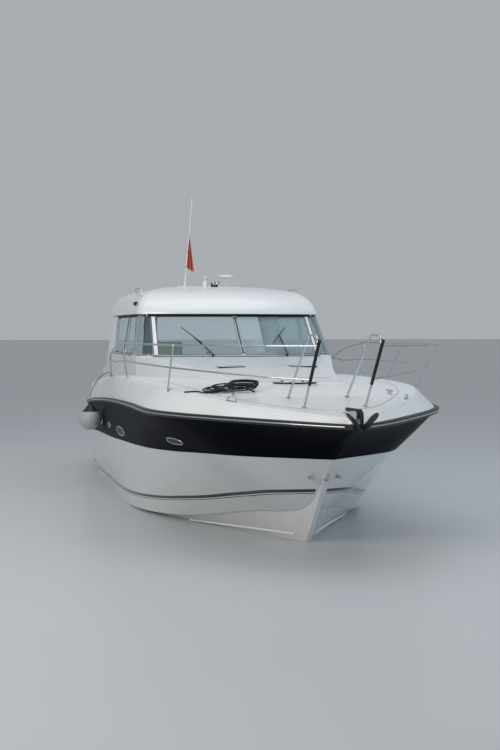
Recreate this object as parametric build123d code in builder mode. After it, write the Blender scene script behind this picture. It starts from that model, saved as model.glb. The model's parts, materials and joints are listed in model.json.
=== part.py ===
# Hardtop motor yacht, about 12 m long, afloat.
# Millimetres. X points to the bow, Y to port and Z up. The origin lies amidships on the
# centreline at the waterline, so the hull's bottom has negative Z.
import os
from math import atan2, cos, degrees, pi, radians, sin, tan

from build123d import *

os.makedirs("parts", exist_ok=True)

# Clearances
SEAT_GAP = 0.3          # between a lid or cushion and what it lies on
RUN_GAP = 8.0           # around a lid, gate or door in its opening
SHAFT_GAP = 0.8         # around a turning shaft in its tube

# Hull: keel, chine, topside and sheer at each station
KEEL_FLAT = 30          # half-width of the flat on keel and stem
TRANSOM_X = -5300
HULL_STATIONS = (
    # x, keel z, chine y, chine z, chine flat, side y, side z, sheer y, sheer z
    (TRANSOM_X, -760, 1800, -50, 45, 1925, 700, 1970, 1370),
    (-4200, -775, 1825, -48, 45, 1960, 740, 2003, 1462),
    (-3000, -780, 1840, -40, 45, 1985, 780, 2030, 1545),
    (-1000, -780, 1840, -20, 45, 2010, 850, 2070, 1655),
    (1000, -760, 1690, 45, 45, 1945, 950, 2095, 1730),
    (2500, -660, 1060, 190, 40, 1800, 1150, 2095, 1755),
    (3500, -330, 500, 383, 30, 1440, 1190, 2025, 1758),
    (4200, 280, 110, 520, 15, 1075, 1220, 1700, 1755),
    (4800, 1009, 45, 1045, 6, 620, 1400, 1250, 1748),
    (5300, 1440, 42, 1465, 5, 420, 1600, 830, 1741),
    (5700, 1615, 38, 1630, 4, 220, 1680, 435, 1732),
    (5950, 1690, 36, 1698, 3, 80, 1712, 115, 1726),
)

# Deck moulding: joint line inside the sheer, deck edge and camber at each station
DECK_INSET = 15         # deck's foot inside the hull's sheer
DECK_LAP = 1.5          # deck's foot below the sheer, before it is fitted to the hull
DECK_STATIONS = (
    # x, sheer y, sheer z, edge y, edge z, crown z
    (TRANSOM_X, 1970, 1370, 1870, 1760, 1790),
    (-4200, 2003, 1462, 1905, 1862, 1897),
    (-3000, 2030, 1545, 1930, 1950, 1990),
    (-1000, 2070, 1655, 1975, 2060, 2100),
    (1000, 2095, 1730, 1985, 2080, 2125),
    (2500, 2095, 1755, 1900, 2070, 2120),
    (3500, 2025, 1758, 1745, 2035, 2075),
    (4200, 1700, 1755, 1430, 1975, 1995),
    (4800, 1250, 1748, 1010, 1912, 1925),
    (5300, 830, 1741, 620, 1868, 1876),
    (5700, 435, 1732, 280, 1835, 1840),
    (5950, 115, 1726, 60, 1812, 1815),
)
EDGE_CHAMFER = 35       # soft corner along the deck's edge

RUB_RAIL_Z = (-42, 28)  # below and above the sheer
RUB_RAIL_OUT = 30
RUB_RAIL_CHAMFER = 14
BOW_TIP = (6000, 48, 1725)

# Coachroof and coamings
SILL_Z = 2400           # flat under the window frame
TRUNK_STATIONS = (
    # x, foot y, top y, edge z, crown z
    (2960, 800, 745, 2150, 2165),
    (1900, 1090, 1010, 2262, 2290),
    (400, 1530, 1470, 2404, 2415),
    (-300, 1705, 1700, SILL_Z, SILL_Z + 2),
    (-4300, 1705, 1700, SILL_Z, SILL_Z + 2),
)
TRUNK_FOOT_Z = 1950
COAMING_AFT_X = -4300
COAMING_AFT_Y = 1660
COAMING_AFT_Z = 2060

# Interior
SALOON_FORE_X = -560
SALOON_AFT_X = -3300
SALOON_Y = 1560
SALOON_SOLE_Z = 1400
COCKPIT_AFT_X = -5000
COCKPIT_Y = 1450
COCKPIT_SOLE_Z = 1150
DOORWAY_X = (-560, 350)
DOORWAY_Y = (60, 660)
DOORWAY_Z = (800, 2330)
PASSAGE_Y = (-1450, -850)
PASSAGE_STEP_X = -5130
PASSAGE_STEP_Z = 800
BERTH_X = (2450, 4050)
BERTH_Y = 650
BERTH_Z = (1250, 1900)

# Engine bay and its hatch
BAY_X = (-4850, -3350)
BAY_Y = 1150
BAY_Z = (-120, 1050)
ENGINE_HATCH_X = (-4350, -3400)
ENGINE_HATCH_Y = 550
HATCH_PLATE = 40
HATCH_LEDGE = 30
ENGINE_SIZE = (1150, 720, 820)
ENGINE_X = -4100
ENGINE_Y = 520

# Window frame and glass
FRAME_WALL = 45
GLASS = 8
GLASS_INSET = 16
HOUSE_TOP_Z = 3120
HOUSE_BASE = (330, -300, 1690, -4250)   # front x, corner x, half-width, aft x
HOUSE_HEAD = (-430, -800, 1575, -4450)
HOUSE_CORNER = 130
FRONT_PANES = (
    # base inner y, base outer y, head outer y, head inner y
    (35, 1350, 1315, 35),
    (1430, 1590, 1485, 1390),
)
PANE_Z = (2445, 3070)
SIDE_PANES = (
    # base fore x, base aft x, head aft x, head fore x
    (-640, -1860, -1860, -1060),
    (-1920, -3150, -3420, -1920),
)
SIDE_PANE_CORNER = 70

# Hardtop slices from its lip to its crown
HARDTOP_SLICES = (
    # z, front x, corner x, half-width, aft x
    (HOUSE_TOP_Z, -330, -770, 1610, -4560),
    (3230, -370, -800, 1580, -4600),
    (3400, -560, -960, 1490, -4620),
    (3520, -900, -1250, 1330, -4600),
    (3590, -1400, -1700, 1050, -4540),
    (3615, -1900, -2150, 750, -4450),
)
HARDTOP_CORNER = 180
HARDTOP_WALL = 100
HARDTOP_SKIN = 90
SUNROOF_X = (-3350, -2450)
SUNROOF_Y = 560
SUNROOF_THICK = 30
SUNROOF_LAP = 45
SUNROOF_TRAVEL = 850
RUNNER_WIDTH = 14
RUNNER_RISE = 6

# Rails
RAIL_R = 13
STANCHION_R = 12
RAIL_BENDS = ((500, 700, 900, 2500, 1500, 900, 250), (500, 700, 900, 2500, 1500, 900))

# Foredeck
HATCH_X = 3300
HATCH_LENGTH = 480
HATCH_WIDTH = 620
HATCH_RIM = 35
HATCH_RIM_Z = 2108
HATCH_THICK = 26
LOCKER_X = (4400, 4950)
LOCKER_Y = 260
LOCKER_FLOOR_Z = 1560
LOCKER_LEDGE = 22
LOCKER_WELL_X = (LOCKER_X[0] + LOCKER_LEDGE, LOCKER_X[1] - LOCKER_LEDGE)
LOCKER_WELL_Y = LOCKER_Y - LOCKER_LEDGE
LID_THICK = 28
HINGE_RISE = 14         # hinge axis above a lid's top
DECK_LIGHT_SIZE = (230, 420, 14)
DECK_LIGHT_AT = ((1750, 560), (1750, -560))
DECK_LIGHT_Z = 2240

# Bow gear
ROLLER_X = (5480, 6020)
ROLLER_HALF = 40
ROLLER_CHEEK = 6
ROLLER_Z = 1850
ROLLER_R = 30
SHANK_WIDTH = 24
SHANK_DEPTH = 60
FLUKE_THICK = 14

# Pulpit and rails, port side: x, y, z
PULPIT_Y = 400
PULPIT_LEGS = ((4320, 1935), (5280, 2790), (5750, 2790), (5080, 1880))
TOP_RAIL = (
    (5660, PULPIT_Y, 2665),
    (5250, 900, 2662),
    (4720, 1400, 2660),
    (3990, 1845, 2658),
    (2300, 2000, 2650),
    (500, 2030, 2640),
    (-500, 2040, 2540),
    (-1150, 2025, 2380),
    (-1480, 1955, 2040),
)
LOWER_RAIL = (
    (5355, PULPIT_Y, 2250),
    (4980, 800, 2270),
    (4420, 1330, 2310),
    (3645, 1822, 2355),
    (2000, 1978, 2362),
    (500, 2002, 2362),
    (-600, 2018, 2310),
    (-1190, 2015, 2345),
)
STANCHIONS = {
    # foot x, y, z and top x, y, z
    "port": (
        (3280, 1790, 2040, 3990, 1845, 2658),
        (1700, 1940, 2060, 2300, 2000, 2650),
        (500, 1955, 2060, 500, 2030, 2640),
    ),
    "starboard": (
        (3280, 1790, 2040, 3990, 1845, 2658),
        (500, 1955, 2060, 500, 2030, 2640),
    ),
}
CLEATS = (
    # x, y, z of the deck there
    (4150, 1080, 1985),
    (-2200, 1880, 2010),
    (-4900, 1770, 1808),
)
CLEAT_LENGTH = 230
CLEAT_HORN_R = 12
CLEAT_RISE = 55

# Stern
PLATFORM_X = (-6100, TRANSOM_X)
PLATFORM_Y = 1700
PLATFORM_Z = (330, 420)
PLATFORM_CORNER = 380
LADDER_Y = (450, 850)
LADDER_LENGTH = 760
LADDER_R = 14
LADDER_PIN_R = 7
LUG_R = 15
GATE_X = -5170
GATE_THICK = 36
GATE_Z = (1165, 1760)
KNUCKLE_R = 8
GATE_AXIS = (GATE_X + 4, PASSAGE_Y[0] + KNUCKLE_R + SEAT_GAP)
DOOR_THICK = 30
DOOR_X = (SALOON_FORE_X + 4, SALOON_FORE_X + 4 + DOOR_THICK)
DOOR_AXIS = (SALOON_FORE_X, DOORWAY_Y[1] - KNUCKLE_R - SEAT_GAP)

# Running gear
SHAFT_Y = 700
PROP_X = -4750
PROP_Z = -850
SHAFT_ANGLE = 10
SHAFT_R = 22
SHAFT_FORE_X = -2990
PROP_R = 260
PROP_HUB_R = 48
PROP_HUB_LENGTH = 150
PROP_SECTIONS = (
    # radius, chord, pitch angle, thickness
    (40, 110, 62, 22),
    (110, 185, 46, 16),
    (190, 215, 34, 10),
    (258, 90, 27, 5),
)
STRUT_X = -4520
STRUT_BARREL_R = 46
RUDDER_X = -5060
RUDDER_STOCK_R = 22
RUDDER_Z = (-1010, -600)
RUDDER_CHORD = (110, -300)
RUDDER_THICK = 46
RUDDER_BOSS_Z = -545
TAB_SIZE = (280, 520, 10)
TAB_Y = 1150

# Helm
CONSOLE_X = (-1050, -560)
CONSOLE_Y = (-1350, -300)
CONSOLE_TOP = ((-1050, 2080), (-900, 2330), (-560, 2385))
WHEEL_CENTRE = (-1150, -820, 2170)
WHEEL_TILT = 32
WHEEL_R = 185
WHEEL_HUB = 60
WHEEL_RIM_R = 14
HELM_SEAT_X = (-2000, -1450)
HELM_SEAT_Y = (-1170, -620)
HELM_SEAT_Z = 1960
SEAT_PAD = 120
BACK_TOP_Z = 2630

# Saloon and cockpit
SETTEE_X = (-3250, -1400)
SETTEE_Y = (880, 1555)
SETTEE_Z = 1760
SETTEE_BACK_Z = 2250
GALLEY_X = (-3250, -2250)
GALLEY_Y = (-1555, -1050)
GALLEY_Z = 2280
BENCH_X = (-4995, -4460)
BENCH_Y = (-720, 1445)
BENCH_Z = 1480
BENCH_BACK_Z = 1950

# Roof gear: x, y
WHIP_FOOT = (-2000, -560)
WHIP_HEAD = (-2000, -410)
WHIP_TOP_Z = 5260
WHIP_R = 7
LIGHT_AT = (-2000, -170)
HORN_AT = (-1990, 10)
DISC_AT = (-2000, 210)
FLAG_TOP_Z = 4560
FLAG_FOOT_Z = 3930

# Fender
FENDER_AT = (-2490, -2232, 1210)
FENDER_R = 200


def box_between(x_span, y_span, z_span):
    """Block between two corners."""
    with BuildPart() as block:
        with BuildSketch(Plane.XY.offset(min(z_span))):
            with Locations(((x_span[0] + x_span[1]) / 2, (y_span[0] + y_span[1]) / 2)):
                Rectangle(abs(x_span[1] - x_span[0]), abs(y_span[1] - y_span[0]))
        extrude(amount=abs(z_span[1] - z_span[0]))
    return block.part


def hull_section(x, keel_z, chine_y, chine_z, flat, side_y, side_z, sheer_y, sheer_z):
    """Closed section of the hull at one station."""
    with BuildSketch(Plane.YZ.offset(x)) as section:
        with BuildLine():
            Line((-KEEL_FLAT, keel_z), (KEEL_FLAT, keel_z))
            Line((-sheer_y, sheer_z), (sheer_y, sheer_z))
            for side in (1, -1):
                Line((side * KEEL_FLAT, keel_z), (side * chine_y, chine_z))
                Line((side * chine_y, chine_z), (side * (chine_y + flat), chine_z))
                ThreePointArc(
                    (side * (chine_y + flat), chine_z), (side * side_y, side_z), (side * sheer_y, sheer_z)
                )
        make_face()
    return section.sketch


def deck_section(x, sheer_y, sheer_z, edge_y, edge_z, crown_z):
    """Closed section of the deck moulding at one station."""
    foot_z = sheer_z - DECK_LAP
    foot_y = sheer_y - DECK_INSET
    cut = EDGE_CHAMFER * min(1, edge_y / 500)
    with BuildSketch(Plane.YZ.offset(x)) as section:
        with BuildLine():
            Line((-foot_y, foot_z), (foot_y, foot_z))
            for side in (1, -1):
                Line((side * foot_y, foot_z), (side * foot_y, sheer_z))
                Line((side * foot_y, sheer_z), (side * (edge_y + cut / 3), edge_z - cut))
                Line((side * (edge_y + cut / 3), edge_z - cut), (side * (edge_y - cut), edge_z))
            ThreePointArc((edge_y - cut, edge_z), (0, crown_z), (-edge_y + cut, edge_z))
        make_face()
    return section.sketch


def trunk_section(x, foot_y, top_y, edge_z, crown_z):
    """Closed section of the coachroof at one station."""
    with BuildSketch(Plane.YZ.offset(x)) as section:
        with BuildLine():
            Line((-foot_y, TRUNK_FOOT_Z), (foot_y, TRUNK_FOOT_Z))
            Line((foot_y, TRUNK_FOOT_Z), (top_y, edge_z))
            ThreePointArc((top_y, edge_z), (0, crown_z), (-top_y, edge_z))
            Line((-top_y, edge_z), (-foot_y, TRUNK_FOOT_Z))
        make_face()
    return section.sketch


def house_slice(z, front_x, corner_x, half_width, aft_x, corner, inset=0.0, aft_inset=None):
    """Level slice of the house: bowed front, straight sides, rounded corners."""
    if aft_inset is None:
        aft_inset = inset
    half = half_width - inset
    back = aft_x + aft_inset
    with BuildSketch(Plane.XY.offset(z)) as level:
        with BuildLine():
            ThreePointArc((corner_x - inset, -half), (front_x - inset, 0), (corner_x - inset, half))
            Polyline((corner_x - inset, half), (back, half), (back, -half), (corner_x - inset, -half))
        make_face()
        fillet(level.vertices(), radius=max(corner - inset, 20))
    return level.sketch


def house_body(inset, below=0, above=0):
    """Solid of the house between sill and head, drawn in by an inset."""
    slices = []
    for z, row in ((SILL_Z, HOUSE_BASE), (HOUSE_TOP_Z, HOUSE_HEAD)):
        slices.append(house_slice(z, *row, corner=HOUSE_CORNER, inset=inset, aft_inset=0))
    with BuildPart() as body:
        loft(sections=slices, ruled=True)
    return body.part


def prism_x(points, x_span, corner):
    """Straight prism along X from an outline of (y, z) points with rounded corners."""
    with BuildPart() as prism:
        with BuildSketch(Plane.YZ.offset(min(x_span))) as outline:
            with BuildLine():
                Polyline(*points, close=True)
            make_face()
            fillet(outline.vertices(), radius=corner)
        extrude(amount=abs(x_span[1] - x_span[0]))
    return prism.part


def prism_y(points, y_span, corner):
    """Straight prism along Y from an outline of (x, z) points with rounded corners."""
    with BuildPart() as prism:
        with BuildSketch(Plane.XZ.offset(-max(y_span))) as outline:
            with BuildLine():
                Polyline(*points, close=True)
            make_face()
            if corner > 0:
                fillet(outline.vertices(), radius=corner)
        extrude(amount=abs(y_span[1] - y_span[0]))
    return prism.part


def rod(start, end, radius):
    """Straight round bar from one point to another."""
    run = Vector(*end) - Vector(*start)
    with BuildPart() as bar:
        with BuildSketch(Plane(origin=start, z_dir=run)):
            Circle(radius)
        extrude(amount=run.length)
    return bar.part


def bent_tube(points, bend, radius):
    """Round bar along straight runs with bends between them."""
    with BuildPart() as tube:
        with BuildLine() as path:
            FilletPolyline(*points, radius=bend)
        with BuildSketch(Plane(origin=path.line @ 0, z_dir=path.line % 0)):
            Circle(radius)
        sweep()
    return tube.part


def on_side(points, side):
    """Points of the port side, or their mirror image to starboard."""
    return [(x, side * y, z) for x, y, z in points]


def house_front(y, z):
    """Point of the windscreen's outer face and its outward normal."""
    share = (z - SILL_Z) / (HOUSE_TOP_Z - SILL_Z)
    faces = []
    for front_x, corner_x, half_width, _ in (HOUSE_BASE, HOUSE_HEAD):
        depth = front_x - corner_x
        bow = (half_width**2 + depth**2) / (2 * depth)
        faces.append((front_x - bow + (bow**2 - y**2) ** 0.5, bow))
    x = faces[0][0] + share * (faces[1][0] - faces[0][0])
    bow = faces[0][1] + share * (faces[1][1] - faces[0][1])
    rake = (faces[1][0] - faces[0][0]) / (HOUSE_TOP_Z - SILL_Z)
    return Vector(x, y, z), Vector(1, y / bow, -rake).normalized()


# Everything that is hollow inside hull and deck
with BuildPart() as interior:
    add(box_between((SALOON_AFT_X, SALOON_FORE_X), (-SALOON_Y, SALOON_Y), (SALOON_SOLE_Z, SILL_Z + 50)))
    add(box_between((COCKPIT_AFT_X, SALOON_AFT_X), (-COCKPIT_Y, COCKPIT_Y), (COCKPIT_SOLE_Z, SILL_Z + 50)))
    add(box_between(DOORWAY_X, DOORWAY_Y, DOORWAY_Z))
    add(box_between((TRANSOM_X - 100, COCKPIT_AFT_X), PASSAGE_Y, (PASSAGE_STEP_Z, SILL_Z)))
    add(
        box_between((PASSAGE_STEP_X, COCKPIT_AFT_X), PASSAGE_Y, (PASSAGE_STEP_Z, COCKPIT_SOLE_Z)),
        mode=Mode.SUBTRACT,
    )
    add(box_between(BAY_X, (-BAY_Y, BAY_Y), BAY_Z))
    add(box_between(ENGINE_HATCH_X, (-ENGINE_HATCH_Y, ENGINE_HATCH_Y),
                    (COCKPIT_SOLE_Z - HATCH_PLATE - SEAT_GAP, COCKPIT_SOLE_Z)))
    add(box_between((ENGINE_HATCH_X[0] + HATCH_LEDGE, ENGINE_HATCH_X[1] - HATCH_LEDGE),
                    (-ENGINE_HATCH_Y + HATCH_LEDGE, ENGINE_HATCH_Y - HATCH_LEDGE), (BAY_Z[1], COCKPIT_SOLE_Z)))
    add(box_between(BERTH_X, (-BERTH_Y, BERTH_Y), BERTH_Z))

# Hull with its tubes and bosses
prop_axis = Vector(cos(radians(SHAFT_ANGLE)), 0, sin(radians(SHAFT_ANGLE)))
prop_centres = {"port": Vector(PROP_X, SHAFT_Y, PROP_Z), "starboard": Vector(PROP_X, -SHAFT_Y, PROP_Z)}
sides = (("port", 1), ("starboard", -1))


def along_shaft(name, x):
    """Point of a shaft's axis at a station."""
    centre = prop_centres[name]
    return centre + prop_axis * ((x - centre.X) / prop_axis.X)


with BuildPart() as hull_form:
    loft(sections=[hull_section(*row) for row in HULL_STATIONS])

with BuildPart() as hull:
    add(hull_form.part)
    for name, side in sides:
        add(rod(along_shaft(name, SHAFT_FORE_X - 60), along_shaft(name, SHAFT_FORE_X + 600), SHAFT_R + 22))
        add(rod((RUDDER_X, side * SHAFT_Y, RUDDER_BOSS_Z), (RUDDER_X, side * SHAFT_Y, -380), RUDDER_STOCK_R + 26))
    for name, side in sides:
        add(
            rod(along_shaft(name, SHAFT_FORE_X - 70), along_shaft(name, SHAFT_FORE_X + 10), SHAFT_R + SHAFT_GAP),
            mode=Mode.SUBTRACT,
        )
        add(
            rod(
                (RUDDER_X, side * SHAFT_Y, RUDDER_BOSS_Z - 5),
                (RUDDER_X, side * SHAFT_Y, RUDDER_BOSS_Z + 45),
                RUDDER_STOCK_R + SHAFT_GAP,
            ),
            mode=Mode.SUBTRACT,
        )
    add(interior.part, mode=Mode.SUBTRACT)
    add(box_between(LOCKER_WELL_X, (-LOCKER_WELL_Y, LOCKER_WELL_Y), (LOCKER_FLOOR_Z, 2200)), mode=Mode.SUBTRACT)
print("hull", hull.part.is_valid, len(hull.part.solids()), hull.part.volume / 1e9)

# Deck moulding
with BuildPart() as deck_form:
    loft(sections=[deck_section(*row) for row in DECK_STATIONS])

with BuildPart() as locker_recess:
    add(box_between(LOCKER_X, (-LOCKER_Y, LOCKER_Y), (1800, 2200)))
    add(deck_form.part.moved(Location((0, 0, -LID_THICK - SEAT_GAP))), mode=Mode.SUBTRACT)

with BuildPart() as locker_lid:
    add(
        box_between(
            (LOCKER_X[0] + RUN_GAP, LOCKER_X[1] - RUN_GAP),
            (-LOCKER_Y + RUN_GAP, LOCKER_Y - RUN_GAP),
            (1800, 2200),
        )
    )
    add(deck_form.part, mode=Mode.INTERSECT)
    add(deck_form.part.moved(Location((0, 0, -LID_THICK))), mode=Mode.SUBTRACT)

with BuildPart() as deck:
    add(deck_form.part)
    loft(sections=[trunk_section(*row) for row in TRUNK_STATIONS], ruled=True)
    add(box_between((TRANSOM_X, COAMING_AFT_X), (-COAMING_AFT_Y, COAMING_AFT_Y), (1700, COAMING_AFT_Z)))
    add(box_between((-4300, 500), (-1800, 1800), (SILL_Z, SILL_Z + 60)), mode=Mode.SUBTRACT)
    with BuildSketch(Plane.XY.offset(HATCH_RIM_Z - 60)):
        with Locations((HATCH_X, 0)):
            Ellipse(HATCH_LENGTH / 2, HATCH_WIDTH / 2)
    extrude(amount=60)
    with BuildSketch(Plane.XY.offset(BERTH_Z[0])):
        with Locations((HATCH_X, 0)):
            Ellipse(HATCH_LENGTH / 2 - HATCH_RIM, HATCH_WIDTH / 2 - HATCH_RIM)
    extrude(amount=HATCH_RIM_Z - BERTH_Z[0] + 10, mode=Mode.SUBTRACT)
    add(locker_recess.part, mode=Mode.SUBTRACT)
    add(box_between(LOCKER_WELL_X, (-LOCKER_WELL_Y, LOCKER_WELL_Y), (LOCKER_FLOOR_Z, 2200)), mode=Mode.SUBTRACT)
    add(hull_form.part, mode=Mode.SUBTRACT)
    add(interior.part, mode=Mode.SUBTRACT)
for so in deck.part.solids():
    print("deck solid", so.volume / 1e9, so.bounding_box())

# Rub rail round the joint of hull and deck
with BuildPart() as rub_rail:
    slabs = []
    rows = [(row[0], row[7], row[8]) for row in HULL_STATIONS[:-1]] + [BOW_TIP]
    for x, y, z in rows:
        out = y + RUB_RAIL_OUT
        inner = out - RUB_RAIL_CHAMFER
        low = z + RUB_RAIL_Z[0]
        high = z + RUB_RAIL_Z[1]
        with BuildSketch(Plane.YZ.offset(x)) as slab:
            with BuildLine():
                Polyline(
                    (inner, low), (out, low + RUB_RAIL_CHAMFER), (out, high - RUB_RAIL_CHAMFER), (inner, high),
                    (-inner, high), (-out, high - RUB_RAIL_CHAMFER), (-out, low + RUB_RAIL_CHAMFER), (-inner, low),
                    close=True,
                )
            make_face()
        slabs.append(slab.sketch)
    loft(sections=slabs)
    add(hull_form.part, mode=Mode.SUBTRACT)
    add(deck_form.part, mode=Mode.SUBTRACT)

# Window frame: a wall round the house with its windows cut
front_cutters = []
for base_in, base_out, head_out, head_in in FRONT_PANES:
    for side in (1, -1):
        outline = ((side * base_in, PANE_Z[0]), (side * base_out, PANE_Z[0]),
                   (side * head_out, PANE_Z[1]), (side * head_in, PANE_Z[1]))
        front_cutters.append(prism_x(outline, (-1150, 700), 22))
side_cutters = []
for base_fore, base_aft, head_aft, head_fore in SIDE_PANES:
    outline = ((base_fore, PANE_Z[0]), (base_aft, PANE_Z[0]), (head_aft, PANE_Z[1]), (head_fore, PANE_Z[1]))
    for span in ((1450, 1800), (-1800, -1450)):
        side_cutters.append(prism_y(outline, span, SIDE_PANE_CORNER))

with BuildPart() as window_frame:
    add(house_body(0))
    add(house_body(FRAME_WALL), mode=Mode.SUBTRACT)
    for cutter in front_cutters + side_cutters:
        add(cutter, mode=Mode.SUBTRACT)

with BuildPart() as glass_layer:
    add(house_body(GLASS_INSET))
    add(house_body(GLASS_INSET + GLASS), mode=Mode.SUBTRACT)

with BuildPart() as windscreen:
    for cutter in front_cutters:
        add(cutter)
    add(glass_layer.part, mode=Mode.INTERSECT)

with BuildPart() as side_windows:
    for cutter in side_cutters:
        add(cutter)
    add(glass_layer.part, mode=Mode.INTERSECT)

# Hardtop: a hollow moulding over the house, open below
with BuildPart() as hardtop_form:
    loft(sections=[house_slice(*row, corner=HARDTOP_CORNER) for row in HARDTOP_SLICES])

with BuildPart() as hardtop:
    add(hardtop_form.part)
    hollow = []
    for z, row in ((HOUSE_TOP_Z - 1, HARDTOP_SLICES[0]), (3300, HARDTOP_SLICES[1]), (3440, HARDTOP_SLICES[2]),
                   (HARDTOP_SLICES[-1][0] - HARDTOP_SKIN, HARDTOP_SLICES[3])):
        hollow.append(house_slice(z, *row[1:], corner=HARDTOP_CORNER, inset=HARDTOP_WALL))
    loft(sections=hollow, mode=Mode.SUBTRACT)
    for side in (1, -1):
        add(box_between(
            (SUNROOF_X[0] - SUNROOF_TRAVEL - SUNROOF_LAP, SUNROOF_X[1]),
            (side * (SUNROOF_Y + 10), side * (SUNROOF_Y + 10 + RUNNER_WIDTH)),
            (HARDTOP_SLICES[-1][0] - 20, HARDTOP_SLICES[-1][0] + RUNNER_RISE),
        ))
    add(box_between(SUNROOF_X, (-SUNROOF_Y, SUNROOF_Y), (HOUSE_TOP_Z, HARDTOP_SLICES[-1][0] + 20)), mode=Mode.SUBTRACT)

sunroof_z = HARDTOP_SLICES[-1][0] + RUNNER_RISE + SEAT_GAP
with BuildPart() as sunroof:
    add(box_between(
        (SUNROOF_X[0] - SUNROOF_LAP, SUNROOF_X[1] + SUNROOF_LAP),
        (-SUNROOF_Y - SUNROOF_LAP, SUNROOF_Y + SUNROOF_LAP),
        (sunroof_z, sunroof_z + SUNROOF_THICK),
    ))
    fillet(sunroof.edges().filter_by(Axis.Z), radius=60)
    fillet(sunroof.faces().sort_by(Axis.Z)[-1].edges(), radius=10)

# Bow rails with the pulpit's frames
rails = {}
for name, side in sides:
    with BuildPart() as rail:
        frame_points = [(x, side * PULPIT_Y, z) for x, z in PULPIT_LEGS]
        add(bent_tube(frame_points, 110, RAIL_R + 2))
        add(bent_tube(on_side(TOP_RAIL, side), RAIL_BENDS[0], RAIL_R))
        add(bent_tube(on_side(LOWER_RAIL, side), RAIL_BENDS[1], STANCHION_R))
        for fx, fy, fz, tx, ty, tz in STANCHIONS[name]:
            add(rod((fx, side * fy, fz), (tx, side * ty, tz), STANCHION_R))
        add(deck_form.part, mode=Mode.SUBTRACT)
    rails[name] = rail.part
    print("rail", name, len(rail.part.solids()), rail.part.is_valid, rail.part.volume / 1e9)

# Foredeck hatch lid
with BuildPart() as foredeck_hatch:
    with BuildSketch(Plane.XY.offset(HATCH_RIM_Z + SEAT_GAP)):
        with Locations((HATCH_X, 0)):
            Ellipse(HATCH_LENGTH / 2 + 6, HATCH_WIDTH / 2 + 6)
    extrude(amount=HATCH_THICK)
    fillet(foredeck_hatch.faces().sort_by(Axis.Z)[-1].edges(), radius=12)

# Flush deck lights on the coachroof
with BuildPart() as deck_lights:
    for x, y in DECK_LIGHT_AT:
        add(box_between(
            (x - DECK_LIGHT_SIZE[0] / 2, x + DECK_LIGHT_SIZE[0] / 2),
            (y - DECK_LIGHT_SIZE[1] / 2, y + DECK_LIGHT_SIZE[1] / 2),
            (DECK_LIGHT_Z, DECK_LIGHT_Z + 60),
        ))
    add(deck.part, mode=Mode.SUBTRACT)

# Cleats
with BuildPart() as cleats:
    for x, y, z in CLEATS:
        for side in (1, -1):
            centre = (x, side * y, z + CLEAT_RISE)
            add(rod((x - CLEAT_LENGTH / 2, side * y, z + CLEAT_RISE),
                    (x + CLEAT_LENGTH / 2, side * y, z + CLEAT_RISE), CLEAT_HORN_R))
            for foot in (-38, 38):
                add(rod((x + foot, side * y, z - 40), (x + foot, side * y, z + CLEAT_RISE), CLEAT_HORN_R))
    add(deck_form.part, mode=Mode.SUBTRACT)
    add(box_between((TRANSOM_X, COAMING_AFT_X), (-COAMING_AFT_Y, COAMING_AFT_Y), (1700, COAMING_AFT_Z)),
        mode=Mode.SUBTRACT)

# Bow roller: two cheeks, a floor and a wheel between them
with BuildPart() as bow_roller:
    for side in (1, -1):
        cheek = ((ROLLER_X[0], ROLLER_Z - 60), (ROLLER_X[1] - 60, ROLLER_Z - 60), (ROLLER_X[1], ROLLER_Z - 20),
                 (ROLLER_X[1], ROLLER_Z + 45), (ROLLER_X[1] - 70, ROLLER_Z + 60), (ROLLER_X[0], ROLLER_Z + 12))
        add(prism_y(cheek, sorted((side * ROLLER_HALF, side * (ROLLER_HALF + ROLLER_CHEEK))), 0))
    add(box_between((ROLLER_X[0], ROLLER_X[1] - 120), (-ROLLER_HALF, ROLLER_HALF), (ROLLER_Z - 60, ROLLER_Z - 18)))
    add(rod((ROLLER_X[1] - 40, -ROLLER_HALF, ROLLER_Z), (ROLLER_X[1] - 40, ROLLER_HALF, ROLLER_Z), ROLLER_R))
    add(deck_form.part, mode=Mode.SUBTRACT)
    add(rub_rail.part, mode=Mode.SUBTRACT)

# Plough anchor: a straight shank over the roller and two fluke plates below it
shank_low = ROLLER_Z + ROLLER_R + SEAT_GAP
with BuildPart() as anchor:
    shank = ((5520, shank_low), (6010, shank_low), (6085, shank_low - 150), (6085 - 45, shank_low - 165),
             (6085 + 20, shank_low - 160), (6105, shank_low - 20), (6050, shank_low + 62), (5520, shank_low + 45))
    shank = ((5520, shank_low), (6020, shank_low), (6062, shank_low - 60), (6062, shank_low - 210),
             (6105, shank_low - 190), (6112, shank_low - 30), (6050, shank_low + 55), (5520, shank_low + 42))
    add(prism_y(shank, (-SHANK_WIDTH / 2, SHANK_WIDTH / 2), 0))
    for side in (1, -1):
        fluke_plane = Plane(
            origin=(6075, side * 2, shank_low - 205), x_dir=(0, side * cos(radians(48)), sin(radians(48))),
            z_dir=(0, -side * sin(radians(48)), cos(radians(48))),
        )
        with BuildSketch(fluke_plane):
            with BuildLine():
                outline = [(0, -60), (150, -150), (265, -60), (275, 60), (150, 120), (0, 60)]
                Line((0, -60 * side), (0, 75 * side))
                Line((0, 75 * side), (150, 60 * side))
                ThreePointArc((150, 60 * side), (285, -10 * side), (200, -120 * side))
                Line((200, -120 * side), (0, -60 * side))
            make_face()
        extrude(amount=FLUKE_THICK)
    add(rub_rail.part, mode=Mode.SUBTRACT)
print("anchor", len(anchor.part.solids()))

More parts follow.
